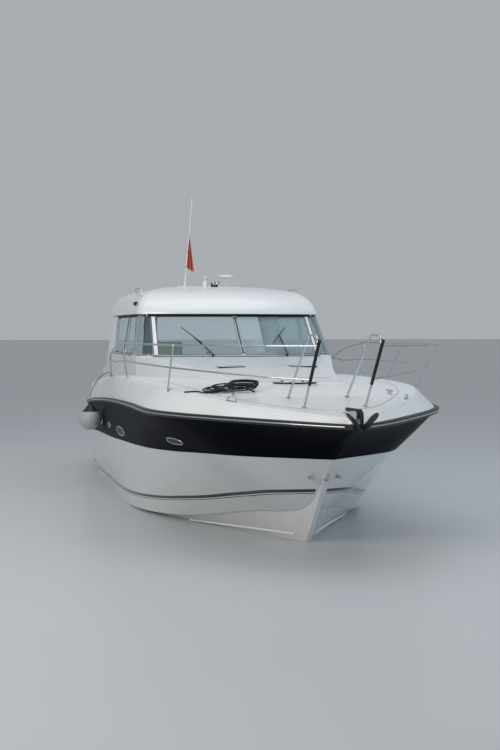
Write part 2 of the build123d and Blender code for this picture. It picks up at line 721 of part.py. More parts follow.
# Swim platform on the transom, with two brackets under it and the lugs of its ladder
ladder_x = PLATFORM_X[0] - LADDER_R - 6
ladder_z = PLATFORM_Z[1] + LADDER_R + 8
with BuildPart() as swim_platform:
    add(box_between(PLATFORM_X, (-PLATFORM_Y, PLATFORM_Y), PLATFORM_Z))
    aft_edges = swim_platform.edges().filter_by(Axis.Z).group_by(Axis.X)[0]
    fillet(aft_edges, radius=PLATFORM_CORNER)
    for y in (-1000, 1000):
        add(prism_y(
            ((TRANSOM_X, PLATFORM_Z[0] + 5), (TRANSOM_X - 520, PLATFORM_Z[0] + 5), (TRANSOM_X, PLATFORM_Z[0] - 230)),
            (y - 25, y + 25), 0,
        ))
    for y in (LADDER_Y[0] + 40, LADDER_Y[1] - 40):
        add(rod((ladder_x, y - 8, ladder_z), (ladder_x, y + 8, ladder_z), LUG_R))
        add(prism_y(
            ((ladder_x - LUG_R + 3, ladder_z - 8), (ladder_x, ladder_z - LUG_R), (PLATFORM_X[0] + 30, PLATFORM_Z[1] - 40),
             (PLATFORM_X[0] + 30, PLATFORM_Z[1] - 1), (ladder_x + LUG_R - 3, ladder_z - 4)),
            (y - 8, y + 8), 0,
        ))
        add(rod((ladder_x, y - 9, ladder_z), (ladder_x, y + 9, ladder_z), LADDER_PIN_R + SEAT_GAP), mode=Mode.SUBTRACT)

# Folding ladder on the platform
with BuildPart() as swim_ladder:
    for y in LADDER_Y:
        add(rod((ladder_x, y, ladder_z), (ladder_x + LADDER_LENGTH, y, ladder_z), LADDER_R))
    add(rod((ladder_x, LADDER_Y[0], ladder_z), (ladder_x, LADDER_Y[1], ladder_z), LADDER_PIN_R))
    for step in range(4):
        x = ladder_x + LADDER_LENGTH - 60 - step * 200
        add(rod((x, LADDER_Y[0], ladder_z), (x, LADDER_Y[1], ladder_z), LADDER_R - 2))

# Gate in the transom passage
gate_y = (PASSAGE_Y[0] + RUN_GAP, PASSAGE_Y[1] - RUN_GAP)
with BuildPart() as transom_gate:
    add(box_between((GATE_X - GATE_THICK, GATE_X), gate_y, GATE_Z))
    fillet(transom_gate.edges().filter_by(Axis.X), radius=40)
    for z in (GATE_Z[0] + 90, GATE_Z[1] - 150):
        add(rod((*GATE_AXIS, z), (*GATE_AXIS, z + 60), KNUCKLE_R))

# Engine hatch, engines
with BuildPart() as engine_hatch:
    add(box_between(
        (ENGINE_HATCH_X[0] + RUN_GAP, ENGINE_HATCH_X[1] - RUN_GAP),
        (-ENGINE_HATCH_Y + RUN_GAP, ENGINE_HATCH_Y - RUN_GAP),
        (COCKPIT_SOLE_Z - HATCH_PLATE, COCKPIT_SOLE_Z),
    ))
with BuildPart() as engines:
    for side in (1, -1):
        add(box_between(
            (ENGINE_X - ENGINE_SIZE[0] / 2, ENGINE_X + ENGINE_SIZE[0] / 2),
            (side * ENGINE_Y - ENGINE_SIZE[1] / 2, side * ENGINE_Y + ENGINE_SIZE[1] / 2),
            (BAY_Z[0], BAY_Z[0] + ENGINE_SIZE[2]),
        ))

# Running gear
def propeller():
    """Four-bladed right-hand propeller round X."""
    with BuildPart() as screw:
        with BuildSketch(Plane.XZ):
            with BuildLine():
                Polyline((-PROP_HUB_LENGTH / 2 - 60, 0), (-PROP_HUB_LENGTH / 2 - 60, 14),
                         (-PROP_HUB_LENGTH / 2, PROP_HUB_R - 10), (PROP_HUB_LENGTH / 2, PROP_HUB_R),
                         (PROP_HUB_LENGTH / 2, 0), close=True)
            make_face()
        revolve(axis=Axis.X)
        for turn in range(4):
            blades = []
            for radius, chord, pitch, thick in PROP_SECTIONS:
                angle = radians(pitch)
                outward = Vector(0, 0, 1).rotate(Axis.X, 90 * turn)
                sideways = Vector(0, 1, 0).rotate(Axis.X, 90 * turn)
                chord_dir = Vector(1, 0, 0) * sin(angle) - sideways * cos(angle)
                with BuildSketch(Plane(origin=outward * radius, x_dir=chord_dir, z_dir=outward)) as blade:
                    with BuildLine():
                        ThreePointArc((-chord / 2, 0), (0, thick / 2), (chord / 2, 0))
                        ThreePointArc((chord / 2, 0), (0, -thick / 2), (-chord / 2, 0))
                    make_face()
                blades.append(blade.sketch)
            loft(sections=blades)
    return screw.part


right_hand = propeller()
props = {}
shafts = {}
for name, side in sides:
    tilt = Location(prop_centres[name], (0, -SHAFT_ANGLE, 0))
    props[name] = (right_hand if side < 0 else mirror(right_hand, about=Plane.XZ)).moved(tilt)
    with BuildPart() as shaft:
        start = prop_centres[name] + prop_axis * (PROP_HUB_LENGTH / 2)
        add(rod(start, along_shaft(name, SHAFT_FORE_X), SHAFT_R))
    shafts[name] = shaft.part
    print("prop", name, len(props[name].solids()), props[name].is_valid)

with BuildPart() as struts:
    for name, side in sides:
        centre = along_shaft(name, STRUT_X)
        add(rod(centre - prop_axis * 70, centre + prop_axis * 70, STRUT_BARREL_R))
        blade = ((STRUT_X - 60, centre.Z), (STRUT_X + 50, centre.Z), (STRUT_X + 90, -300), (STRUT_X - 60, -300))
        add(prism_y(blade, (side * SHAFT_Y - 11, side * SHAFT_Y + 11), 0))
        add(rod(centre - prop_axis * 90, centre + prop_axis * 90, SHAFT_R + SHAFT_GAP), mode=Mode.SUBTRACT)
    add(hull_form.part, mode=Mode.SUBTRACT)

rudders = {}
for name, side in sides:
    with BuildPart() as rudder:
        with BuildSketch(Plane.XY.offset(RUDDER_Z[0])):
            with BuildLine():
                half = RUDDER_THICK / 2
                ThreePointArc((RUDDER_X, -half), (RUDDER_X + RUDDER_CHORD[0], 0), (RUDDER_X, half))
                Line((RUDDER_X, half), (RUDDER_X + RUDDER_CHORD[1], 5))
                Line((RUDDER_X + RUDDER_CHORD[1], 5), (RUDDER_X + RUDDER_CHORD[1], -5))
                Line((RUDDER_X + RUDDER_CHORD[1], -5), (RUDDER_X, -half))
            make_face()
        extrude(amount=RUDDER_Z[1] - RUDDER_Z[0])
        add(rod((RUDDER_X, 0, RUDDER_Z[1] - 20), (RUDDER_X, 0, RUDDER_BOSS_Z + 43), RUDDER_STOCK_R))
    rudders[name] = rudder.part.moved(Location((0, side * SHAFT_Y, 0)))

with BuildPart() as trim_tabs:
    for side in (1, -1):
        tab_z = -780 + (TAB_Y - KEEL_FLAT) * 710 / 1770 + 30
        add(box_between((TRANSOM_X - TAB_SIZE[0], TRANSOM_X),
                        sorted((side * (TAB_Y - TAB_SIZE[1] / 2), side * (TAB_Y + TAB_SIZE[1] / 2))),
                        (tab_z + 130, tab_z + 130 + TAB_SIZE[2])))

# Helm
wheel_axis = Vector(-cos(radians(WHEEL_TILT)), 0, sin(radians(WHEEL_TILT)))
with BuildPart() as helm_console:
    front = [(CONSOLE_X[0], SALOON_SOLE_Z), *CONSOLE_TOP, (CONSOLE_X[1], SALOON_SOLE_Z)]
    add(prism_y(front, CONSOLE_Y, 0))
    add(rod(Vector(*WHEEL_CENTRE) - wheel_axis * (WHEEL_HUB + SEAT_GAP), Vector(*WHEEL_CENTRE) - wheel_axis * 220, 30))

with BuildPart() as steering_wheel:
    wheel_plane = Plane(origin=WHEEL_CENTRE, x_dir=(0, 1, 0), z_dir=wheel_axis)
    with BuildSketch(Plane(origin=Vector(*WHEEL_CENTRE) + wheel_plane.x_dir * WHEEL_R,
                           x_dir=wheel_plane.x_dir, z_dir=wheel_plane.y_dir)):
        Circle(WHEEL_RIM_R)
    revolve(axis=Axis(WHEEL_CENTRE, wheel_axis))
    for turn in range(3):
        spoke = wheel_plane.x_dir.rotate(Axis((0, 0, 0), wheel_axis), 90 + 120 * turn)
        hub = Vector(*WHEEL_CENTRE) - wheel_axis * 22
        add(rod(hub, Vector(*WHEEL_CENTRE) + spoke * WHEEL_R, 9))
    add(rod(Vector(*WHEEL_CENTRE) - wheel_axis * WHEEL_HUB, Vector(*WHEEL_CENTRE) - wheel_axis * 5, 32))
print("wheel", len(steering_wheel.part.solids()))

with BuildPart() as helm_seat:
    add(box_between((HELM_SEAT_X[0] + 60, HELM_SEAT_X[1] - 60), (HELM_SEAT_Y[0] + 60, HELM_SEAT_Y[1] - 60),
                    (SALOON_SOLE_Z, HELM_SEAT_Z - 40)))
    add(box_between(HELM_SEAT_X, HELM_SEAT_Y, (HELM_SEAT_Z - 40, HELM_SEAT_Z)))
    add(box_between((HELM_SEAT_X[0], HELM_SEAT_X[0] + 30), HELM_SEAT_Y, (HELM_SEAT_Z - 40, BACK_TOP_Z - 60)))

def cushion(x_span, y_span, z_span, corner):
    """Plain block of a cushion with soft edges."""
    with BuildPart() as pad:
        add(box_between(x_span, y_span, z_span))
        fillet(pad.edges(), radius=corner)
    return pad.part


with BuildPart() as helm_cushions:
    add(cushion((HELM_SEAT_X[0] + 130, HELM_SEAT_X[1]), HELM_SEAT_Y,
                (HELM_SEAT_Z + SEAT_GAP, HELM_SEAT_Z + SEAT_PAD), 35))
    add(cushion((HELM_SEAT_X[0] + 30 + SEAT_GAP, HELM_SEAT_X[0] + 125), HELM_SEAT_Y,
                (HELM_SEAT_Z + SEAT_GAP, BACK_TOP_Z), 35))

with BuildPart() as settee:
    add(box_between(SETTEE_X, SETTEE_Y, (SALOON_SOLE_Z, SETTEE_Z)))
with BuildPart() as settee_cushions:
    add(cushion(SETTEE_X, (SETTEE_Y[0], SETTEE_Y[1] - 130), (SETTEE_Z + SEAT_GAP, SETTEE_Z + SEAT_PAD), 35))
    add(cushion(SETTEE_X, (SETTEE_Y[1] - 125, SETTEE_Y[1]), (SETTEE_Z + SEAT_GAP, SETTEE_BACK_Z), 35))

with BuildPart() as galley:
    add(box_between(GALLEY_X, GALLEY_Y, (SALOON_SOLE_Z, GALLEY_Z)))
    fillet(galley.edges().filter_by(Axis.Z), radius=25)

with BuildPart() as cockpit_bench:
    add(box_between(BENCH_X, BENCH_Y, (COCKPIT_SOLE_Z, BENCH_Z)))
with BuildPart() as bench_cushions:
    add(cushion((BENCH_X[0] + 130, BENCH_X[1]), BENCH_Y, (BENCH_Z + SEAT_GAP, BENCH_Z + SEAT_PAD), 35))
    add(cushion((BENCH_X[0], BENCH_X[0] + 125), BENCH_Y, (BENCH_Z + SEAT_GAP, BENCH_BACK_Z), 35))

with BuildPart() as cabin_door:
    add(box_between(DOOR_X, (DOORWAY_Y[0] + RUN_GAP, DOORWAY_Y[1] - RUN_GAP), (SALOON_SOLE_Z + RUN_GAP, DOORWAY_Z[1] - RUN_GAP)))
    for z in (SALOON_SOLE_Z + 120, DOORWAY_Z[1] - 200):
        add(rod((*DOOR_AXIS, z), (*DOOR_AXIS, z + 70), KNUCKLE_R))

# Wipers
with BuildPart() as wipers:
    for foot_y, tip_y, low_y, tip_z in ((-510, -930, -640, 2880), (760, 860, 560, 2880)):
        foot, normal = house_front(foot_y, PANE_Z[0] - 22)
        tip, tip_out = house_front(tip_y, tip_z)
        heel, heel_out = house_front(low_y, 2620)
        tip = tip + tip_out * 14
        heel = heel + heel_out * 14
        middle = (tip + heel) * 0.5
        add(rod(foot - normal * 10, foot + normal * 34, 14))
        add(rod(foot + normal * 24, middle, 6))
        add(rod(foot + normal * 24 + Vector(0, 26, 0), middle + Vector(0, 8, 0), 5))
        add(rod(heel, tip, 7))
    add(window_frame.part, mode=Mode.SUBTRACT)
    add(windscreen.part, mode=Mode.SUBTRACT)
print("wipers", len(wipers.part.solids()))

# Roof gear
with BuildPart() as whip_antenna:
    foot = (*WHIP_FOOT, 3560)
    head = (*WHIP_HEAD, WHIP_TOP_Z)
    add(rod(foot, head, WHIP_R))
    lean = Vector(*head) - Vector(*foot)
    add(rod(foot, Vector(*foot) + lean * 0.18, 13))
    add(rod(foot, Vector(*foot) + Vector(0, 0, 90), 26))
    add(hardtop_form.part, mode=Mode.SUBTRACT)
with BuildPart() as anchor_light:
    add(rod((*LIGHT_AT, 3580), (*LIGHT_AT, 3700), 16))
    add(rod((*LIGHT_AT, 3700), (*LIGHT_AT, 3800), 34))
    add(hardtop_form.part, mode=Mode.SUBTRACT)
with BuildPart() as horn:
    for dy, length in ((-38, 260), (38, 210)):
        x, y = HORN_AT
        with BuildSketch(Plane(origin=(x + length / 2, y + dy, 3700), z_dir=(-1, 0, 0))):
            Circle(38)
        with BuildSketch(Plane(origin=(x - length / 2, y + dy, 3700), z_dir=(-1, 0, 0))):
            Circle(14)
        loft(ruled=True)
    add(box_between((HORN_AT[0] - 60, HORN_AT[0] - 20), (HORN_AT[1] - 60, HORN_AT[1] + 60), (3580, 3705)))
    add(hardtop_form.part, mode=Mode.SUBTRACT)
with BuildPart() as disc_antenna:
    add(rod((*DISC_AT, 3580), (*DISC_AT, 3810), 15))
    add(rod((*DISC_AT, 3810), (*DISC_AT, 3850), 150))
    add(hardtop_form.part, mode=Mode.SUBTRACT)
with BuildPart() as flag:
    flag_sections = []
    for z, width, depth in ((FLAG_TOP_Z, 40, 26), (4250, 120, 70), (FLAG_FOOT_Z, 165, 90)):
        share = (z - 3560) / (WHIP_TOP_Z - 3560)
        pole_y = WHIP_FOOT[1] + share * (WHIP_HEAD[1] - WHIP_FOOT[1])
        with BuildSketch(Plane.XY.offset(z)) as cut:
            with Locations((WHIP_FOOT[0] - depth / 2 - WHIP_R - SEAT_GAP, pole_y + width / 2 - 45)):
                Rectangle(depth, width)
        flag_sections.append(cut.sketch)
    loft(sections=flag_sections, ruled=True)

with BuildPart() as side_lights:
    for side in (1, -1):
        add(box_between((-1290, -1190), sorted((side * 1520, side * 1600)), (3275, 3335)))
    add(hardtop_form.part, mode=Mode.SUBTRACT)
with BuildPart() as roof_rails:
    for side in (1, -1):
        points = ((-1500, side * 1380, 3440), (-1560, side * 1440, 3580), (-2100, side * 1440, 3580), (-2160, side * 1380, 3440))
        add(bent_tube(points, 40, 11))
    add(hardtop_form.part, mode=Mode.SUBTRACT)

with BuildPart() as bow_eye:
    for side in (1, -1):
        add(rod((4560, side * 190, 965), (4760, side * 190, 965), 22))
    add(bent_tube(((4560, 22, 940), (4830, 22, 1000), (4830, -22, 1000), (4560, -22, 940)), 20, 9))
    add(hull_form.part, mode=Mode.SUBTRACT)
for so in bow_eye.part.solids():
    print("eye", so.volume, so.bounding_box())

# Fender and its line
with BuildPart() as fender:
    fx, fy, fz = FENDER_AT
    with BuildSketch(Plane(origin=FENDER_AT, x_dir=(1, 0, 0), z_dir=(0, -1, 0))):
        with BuildLine():
            ThreePointArc((0, -FENDER_R), (FENDER_R, 0), (150, 132))
            Line((150, 132), (28, 275))
            Line((28, 275), (28, 310))
            Line((28, 310), (0, 310))
            Line((0, 310), (0, -FENDER_R))
        make_face()
    revolve(axis=Axis(FENDER_AT, (0, 0, 1)))
FENDER_LINE = (
    (-2315, -1880, 2065),
    (-2395, -1880, 2065),
    (-2450, -1985, 2045),
    (-2478, -2110, 1900),
    (-2489, -2226, 1700),
    (-2490, -2232, 1520),
)
with BuildPart() as fender_line:
    runs = [(Vector(*b) - Vector(*a)) for a, b in zip(FENDER_LINE, FENDER_LINE[1:])]
    radii = [0.45 * min(a.length, b.length) / tan(radians(a.get_angle(b)) / 2) for a, b in zip(runs, runs[1:])]
    print("fender line radii", [round(r) for r in radii])
    add(bent_tube(FENDER_LINE, radii, 6))

# Mooring rope lying in a hank by the starboard bow cleat
with BuildPart() as rope_hank:
    with BuildSketch(Plane.XY.offset(1960)):
        with Locations((3780, -1040)):
            SlotOverall(860, 380, rotation=90)
    extrude(amount=165)
    add(deck_form.part.moved(Location((0, 0, SEAT_GAP))), mode=Mode.SUBTRACT)

pieces = {}
pieces["hull"] = hull.part
pieces["deck"] = deck.part
pieces["anchor_locker_lid"] = locker_lid.part
pieces["rub_rail"] = rub_rail.part
pieces["window_frame"] = window_frame.part
pieces["windscreen"] = windscreen.part
pieces["side_windows"] = side_windows.part
pieces["hardtop"] = hardtop.part
pieces["sunroof"] = sunroof.part
pieces["bow_rail_port"] = rails["port"]
pieces["bow_rail_starboard"] = rails["starboard"]
pieces["foredeck_hatch"] = foredeck_hatch.part
pieces["deck_lights"] = deck_lights.part
pieces["cleats"] = cleats.part
pieces["bow_roller"] = bow_roller.part
pieces["anchor"] = anchor.part
pieces["swim_platform"] = swim_platform.part
pieces["swim_ladder"] = swim_ladder.part
pieces["transom_gate"] = transom_gate.part
pieces["engine_hatch"] = engine_hatch.part
pieces["engines"] = engines.part
for name, _ in sides:
    pieces[f"propeller_{name}"] = props[name]
    pieces[f"shaft_{name}"] = shafts[name]
    pieces[f"rudder_{name}"] = rudders[name]
pieces["struts"] = struts.part
pieces["trim_tabs"] = trim_tabs.part
pieces["helm_console"] = helm_console.part
pieces["steering_wheel"] = steering_wheel.part
pieces["helm_seat"] = helm_seat.part
pieces["helm_cushions"] = helm_cushions.part
pieces["settee"] = settee.part
pieces["settee_cushions"] = settee_cushions.part
pieces["galley"] = galley.part
pieces["cockpit_bench"] = cockpit_bench.part
pieces["bench_cushions"] = bench_cushions.part
pieces["cabin_door"] = cabin_door.part
pieces["wipers"] = wipers.part
pieces["whip_antenna"] = whip_antenna.part
pieces["anchor_light"] = anchor_light.part
pieces["horn"] = horn.part
pieces["disc_antenna"] = disc_antenna.part
pieces["flag"] = flag.part
pieces["side_lights"] = side_lights.part
pieces["roof_rails"] = roof_rails.part
pieces["bow_eye"] = bow_eye.part
pieces["fender"] = fender.part
pieces["fender_line"] = fender_line.part
pieces["rope_hank"] = rope_hank.part
for name, piece in pieces.items():
    piece.label = name
    export_step(piece, f"parts/{name}.step")
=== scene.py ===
"""Looks of a hardtop motor yacht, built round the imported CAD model.

Metres, in the frame of the CAD: X to the bow, Y to port, Z up, the waterline at Z = 0.
"""

from __future__ import annotations

import json
import logging
import math
from collections.abc import Callable, Iterable, Sequence
from dataclasses import dataclass
from enum import Enum

import bmesh
import bpy
from mathutils import Matrix, Vector
from mathutils.bvhtree import BVHTree
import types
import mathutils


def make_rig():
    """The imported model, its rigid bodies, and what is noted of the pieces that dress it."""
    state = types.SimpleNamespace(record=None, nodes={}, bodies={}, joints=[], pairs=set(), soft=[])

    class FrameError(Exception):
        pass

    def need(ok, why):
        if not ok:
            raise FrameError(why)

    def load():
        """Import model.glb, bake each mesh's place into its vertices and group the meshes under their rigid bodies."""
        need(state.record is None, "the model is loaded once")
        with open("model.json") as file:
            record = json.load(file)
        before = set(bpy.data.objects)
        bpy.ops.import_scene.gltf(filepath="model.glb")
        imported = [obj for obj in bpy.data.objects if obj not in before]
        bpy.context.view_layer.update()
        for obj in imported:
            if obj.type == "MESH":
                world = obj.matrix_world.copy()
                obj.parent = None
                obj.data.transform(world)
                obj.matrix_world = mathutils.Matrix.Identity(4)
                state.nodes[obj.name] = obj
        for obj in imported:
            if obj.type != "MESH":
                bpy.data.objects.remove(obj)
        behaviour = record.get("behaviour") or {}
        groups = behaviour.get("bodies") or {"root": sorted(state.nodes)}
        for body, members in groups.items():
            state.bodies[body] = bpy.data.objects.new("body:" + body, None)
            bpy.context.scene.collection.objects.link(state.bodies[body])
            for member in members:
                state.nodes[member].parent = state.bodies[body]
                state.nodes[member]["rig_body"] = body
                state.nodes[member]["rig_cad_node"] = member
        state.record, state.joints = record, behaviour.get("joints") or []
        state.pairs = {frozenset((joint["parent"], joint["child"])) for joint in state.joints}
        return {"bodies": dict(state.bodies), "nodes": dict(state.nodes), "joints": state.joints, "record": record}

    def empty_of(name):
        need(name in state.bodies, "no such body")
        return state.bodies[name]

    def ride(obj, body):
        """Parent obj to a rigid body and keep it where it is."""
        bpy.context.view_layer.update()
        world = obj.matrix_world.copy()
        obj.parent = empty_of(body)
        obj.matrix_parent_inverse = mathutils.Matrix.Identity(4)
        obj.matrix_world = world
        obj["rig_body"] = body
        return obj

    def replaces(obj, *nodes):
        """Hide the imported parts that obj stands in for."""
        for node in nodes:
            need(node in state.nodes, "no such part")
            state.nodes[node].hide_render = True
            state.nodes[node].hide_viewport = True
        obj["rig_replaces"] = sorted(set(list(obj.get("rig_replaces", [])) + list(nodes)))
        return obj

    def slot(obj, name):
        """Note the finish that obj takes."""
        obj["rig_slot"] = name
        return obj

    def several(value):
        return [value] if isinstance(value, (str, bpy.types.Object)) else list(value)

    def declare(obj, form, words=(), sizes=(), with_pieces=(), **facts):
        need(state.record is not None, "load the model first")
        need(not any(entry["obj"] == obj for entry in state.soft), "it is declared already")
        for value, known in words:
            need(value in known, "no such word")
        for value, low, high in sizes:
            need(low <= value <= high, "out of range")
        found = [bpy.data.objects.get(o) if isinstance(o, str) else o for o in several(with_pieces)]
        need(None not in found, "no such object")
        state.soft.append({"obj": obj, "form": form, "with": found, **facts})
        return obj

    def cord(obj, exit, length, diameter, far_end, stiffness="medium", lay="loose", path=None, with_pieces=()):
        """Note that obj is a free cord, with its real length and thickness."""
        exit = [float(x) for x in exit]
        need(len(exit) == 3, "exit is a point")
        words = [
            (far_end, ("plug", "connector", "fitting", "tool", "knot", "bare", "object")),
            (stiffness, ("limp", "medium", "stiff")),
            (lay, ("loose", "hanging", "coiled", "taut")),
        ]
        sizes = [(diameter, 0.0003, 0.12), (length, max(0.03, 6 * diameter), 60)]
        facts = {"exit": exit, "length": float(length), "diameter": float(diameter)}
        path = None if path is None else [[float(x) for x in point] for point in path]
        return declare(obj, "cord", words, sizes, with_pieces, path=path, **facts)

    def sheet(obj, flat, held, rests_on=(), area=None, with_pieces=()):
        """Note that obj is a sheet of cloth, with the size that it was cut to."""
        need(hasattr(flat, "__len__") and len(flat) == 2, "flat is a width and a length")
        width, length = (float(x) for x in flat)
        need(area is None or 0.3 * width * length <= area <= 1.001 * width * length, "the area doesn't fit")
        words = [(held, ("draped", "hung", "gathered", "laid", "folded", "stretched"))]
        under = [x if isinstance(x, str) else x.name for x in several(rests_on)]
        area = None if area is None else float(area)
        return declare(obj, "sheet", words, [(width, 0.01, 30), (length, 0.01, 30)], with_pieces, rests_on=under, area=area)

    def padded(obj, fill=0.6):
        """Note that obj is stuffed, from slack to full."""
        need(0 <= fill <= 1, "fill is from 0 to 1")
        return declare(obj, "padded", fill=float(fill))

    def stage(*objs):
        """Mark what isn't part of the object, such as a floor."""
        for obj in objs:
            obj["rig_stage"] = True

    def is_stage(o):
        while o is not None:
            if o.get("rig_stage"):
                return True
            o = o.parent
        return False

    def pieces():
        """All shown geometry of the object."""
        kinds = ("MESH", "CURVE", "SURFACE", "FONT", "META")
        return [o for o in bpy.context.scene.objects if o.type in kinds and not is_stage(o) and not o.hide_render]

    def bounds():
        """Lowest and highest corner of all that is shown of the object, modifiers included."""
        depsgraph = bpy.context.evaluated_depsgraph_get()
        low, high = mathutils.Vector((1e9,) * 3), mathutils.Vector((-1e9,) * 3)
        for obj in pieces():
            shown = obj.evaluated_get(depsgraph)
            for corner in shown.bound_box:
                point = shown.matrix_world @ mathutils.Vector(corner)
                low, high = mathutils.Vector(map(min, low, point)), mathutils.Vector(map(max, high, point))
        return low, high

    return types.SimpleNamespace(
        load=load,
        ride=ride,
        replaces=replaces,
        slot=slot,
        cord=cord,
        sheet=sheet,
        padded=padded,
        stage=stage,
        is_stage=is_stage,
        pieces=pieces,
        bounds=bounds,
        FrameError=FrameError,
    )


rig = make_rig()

LOG = logging.getLogger("yacht")
SIZE_FILE = "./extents.json"

Pair = tuple[float, float]
Point = tuple[float, float, float]
Profile = Sequence[Pair]
Spot = tuple[Vector, Vector]
Socket = bpy.types.NodeSocket
Mesh = bmesh.types.BMesh

BOAT = "boat"
TRANSOM_X = -5.300
RAY_TOP, RAY_SIDE, RAY_BOW = 6.0, 4.0, 8.0
RIM_STEP, RIM_STEPS = 0.0015, 30
NODE_SHARP = 32.0
UP, DOWN = Vector((0, 0, 1)), Vector((0, 0, -1))
AHEAD, ASTERN = Vector((1, 0, 0)), Vector((-1, 0, 0))


class Side(Enum):
    """The two sides of the boat, as the sign of Y."""

    PORT = 1
    STARBOARD = -1


# Colours and materials


def linear(code: str) -> tuple[float, float, float, float]:
    """Linear colour of an sRGB hex code, with an alpha of 1.

    Args:
        code: Six hex digits.

    Returns:
        Red, green, blue and alpha.
    """
    values = [int(code[i : i + 2], 16) / 255 for i in (0, 2, 4)]
    red, green, blue = (v / 12.92 if v <= 0.04045 else ((v + 0.055) / 1.055) ** 2.4 for v in values)
    return red, green, blue, 1.0


class Relief(Enum):
    """Kind of fine surface pattern."""

    SMOOTH = "smooth"
    GRAIN = "grain"
    WOOD = "wood"
    BRUSHED = "brushed"
    WEAVE = "weave"
    ROPE = "rope"
    PLANKS = "planks"


@dataclass(frozen=True)
class Finish:
    """One finish: its colours, gloss and relief.

    Attributes:
        name: Name of the material.
        colour: sRGB hex code.
        second: sRGB hex code of the variation.
        slot: The record's material slot for its pieces, empty where there is none.
        rough: Roughness.
        relief: Kind of pattern.
        scale: Size of the pattern, in repeats a metre.
        depth: Strength of the bump.
        metal: Metallic share.
        coat: Weight of the clear coat.
        sheen: Weight of the fabric sheen.
    """

    name: str
    colour: str
    second: str
    slot: str = ""
    rough: float = 0.4
    relief: Relief = Relief.SMOOTH
    scale: float = 40.0
    depth: float = 0.05
    metal: float = 0.0
    coat: float = 0.0
    sheen: float = 0.0


GRAIN, SMOOTH, WEAVE, ROPE = Relief.GRAIN, Relief.SMOOTH, Relief.WEAVE, Relief.ROPE

DECK_GELCOAT = Finish("deck_gelcoat", "e9edf0", "dde3e7", "deck_gelcoat", 0.30, SMOOTH, 2.2, 0.01, coat=0.5)
INNER_GELCOAT = Finish("inner_gelcoat", "dcdfe0", "cfd3d5", "", 0.45, SMOOTH, 3.0, 0.02)
RUBBER = Finish("rubber", "101114", "1a1b1f", "black_plastic", 0.62, GRAIN, 220, 0.12)
RAIL_DARK = Finish("rail_dark", "15171c", "1f2228", "", 0.42, GRAIN, 90, 0.06)
STAINLESS = Finish("stainless", "c3c7cb", "a9aeb4", "stainless", 0.17, SMOOTH, 30, 0.01, metal=1.0)
SATIN_STEEL = Finish("satin_steel", "a7abb0", "8b9096", "stainless", 0.32, Relief.BRUSHED, 60, metal=1.0)
BLACK_PLASTIC = Finish("black_plastic", "0b0c0e", "15171a", "black_plastic", 0.48, GRAIN, 160, 0.08)
WHITE_PLASTIC = Finish("white_plastic", "e8eaeb", "d9dcde", "white_plastic", 0.34, SMOOTH, 20, 0.02, coat=0.2)
DARK_TRIM = Finish("dark_trim", "24262a", "303338", "dark_trim", 0.6, GRAIN, 300, 0.2)
BLACK_LEATHER = Finish("black_leather", "141417", "222226", "", 0.45, GRAIN, 260, 0.25)
PALE_LEATHER = Finish("pale_leather", "d9d2c4", "c9c0b0", "pale_upholstery", 0.5, GRAIN, 240, 0.3, sheen=0.1)
PIPING = Finish("piping", "8a8272", "79705f", "pale_upholstery", 0.5, GRAIN, 240, 0.2)
VENEER = Finish("veneer", "7a4f2e", "4d2f1a", "", 0.3, Relief.WOOD, 7, 0.04, coat=0.4)
TEAK = Finish("teak", "a87b4d", "7d5833", "sole_boards", 0.62, Relief.PLANKS, 18, 0.25)
SMOKED = Finish("smoked", "0d1116", "171d24", "smoked_acrylic", 0.07, SMOOTH, 4, 0.01, coat=0.6)
BRONZE = Finish("bronze", "8d6b3a", "5f4a2c", "", 0.35, GRAIN, 50, 0.08, metal=1.0)
ENGINE_PAINT = Finish("engine_paint", "8f9496", "7b8083", "", 0.45, GRAIN, 60, coat=0.2)
ANCHOR_PAINT = Finish("anchor_paint", "0e1014", "1c1f26", "", 0.5, GRAIN, 45, 0.25, metal=0.3)
FLAG_CLOTH = Finish("flag_cloth", "d9592b", "bb4219", "flag_cloth", 0.85, WEAVE, 900, 0.2, sheen=0.4)
PORT_PANE = Finish("port_pane", "06080b", "0b0e13", "smoked_acrylic", 0.42, SMOOTH, 6, 0.01)
# Painted reflection: an opaque finish in the blue-grey that the panes show from their reflections and from what lies
# behind them, laid over solid posts and strips
PAINTED_GLASS_REFLECTION = Finish("painted_glass_reflection", "7f9099", "8a9aa2", "black_plastic", 0.10, SMOOTH, 6, 0.01, coat=0.8)
CURTAIN_CLOTH = Finish("curtain_cloth", "cfd2d2", "b6babc", "", 0.9, WEAVE, 700, 0.2, sheen=0.3)
FENDER_VINYL = Finish("fender_vinyl", "b9bdc1", "9a9fa5", "fender_vinyl", 0.42, GRAIN, 30)
NAVY_VINYL = Finish("navy_vinyl", "0c1830", "17243d", "fender_vinyl", 0.4, GRAIN, 40)
BLACK_ROPE = Finish("black_rope", "08080a", "19191d", "black_rope", 0.85, ROPE, 42, 0.9, sheen=0.2)
NAVY_ROPE = Finish("navy_rope", "111a2c", "26324a", "navy_rope", 0.85, ROPE, 60, 0.9, sheen=0.2)
RED_LENS = Finish("red_lens", "8e1512", "6a0d0b", "side_lamp", 0.08, SMOOTH, 30, 0.02, coat=0.8)
GREEN_LENS = Finish("green_lens", "0f6b3a", "0a4d29", "side_lamp", 0.08, SMOOTH, 30, 0.02, coat=0.8)
CLEAR_LENS = Finish("clear_lens", "d6dde2", "c3ccd3", "white_plastic", 0.06, SMOOTH, 30, 0.02, coat=0.9)
SCREEN = Finish("screen", "07090d", "0d1218", "dark_trim", 0.05, SMOOTH, 12, 0.0, coat=0.9)
DIAL = Finish("dial", "e4e2da", "d2d0c8", "white_plastic", 0.35, SMOOTH, 50, 0.02)
SEAM = Finish("seam", "5b6064", "474b4f", "black_plastic", 0.7, GRAIN, 200, 0.1)


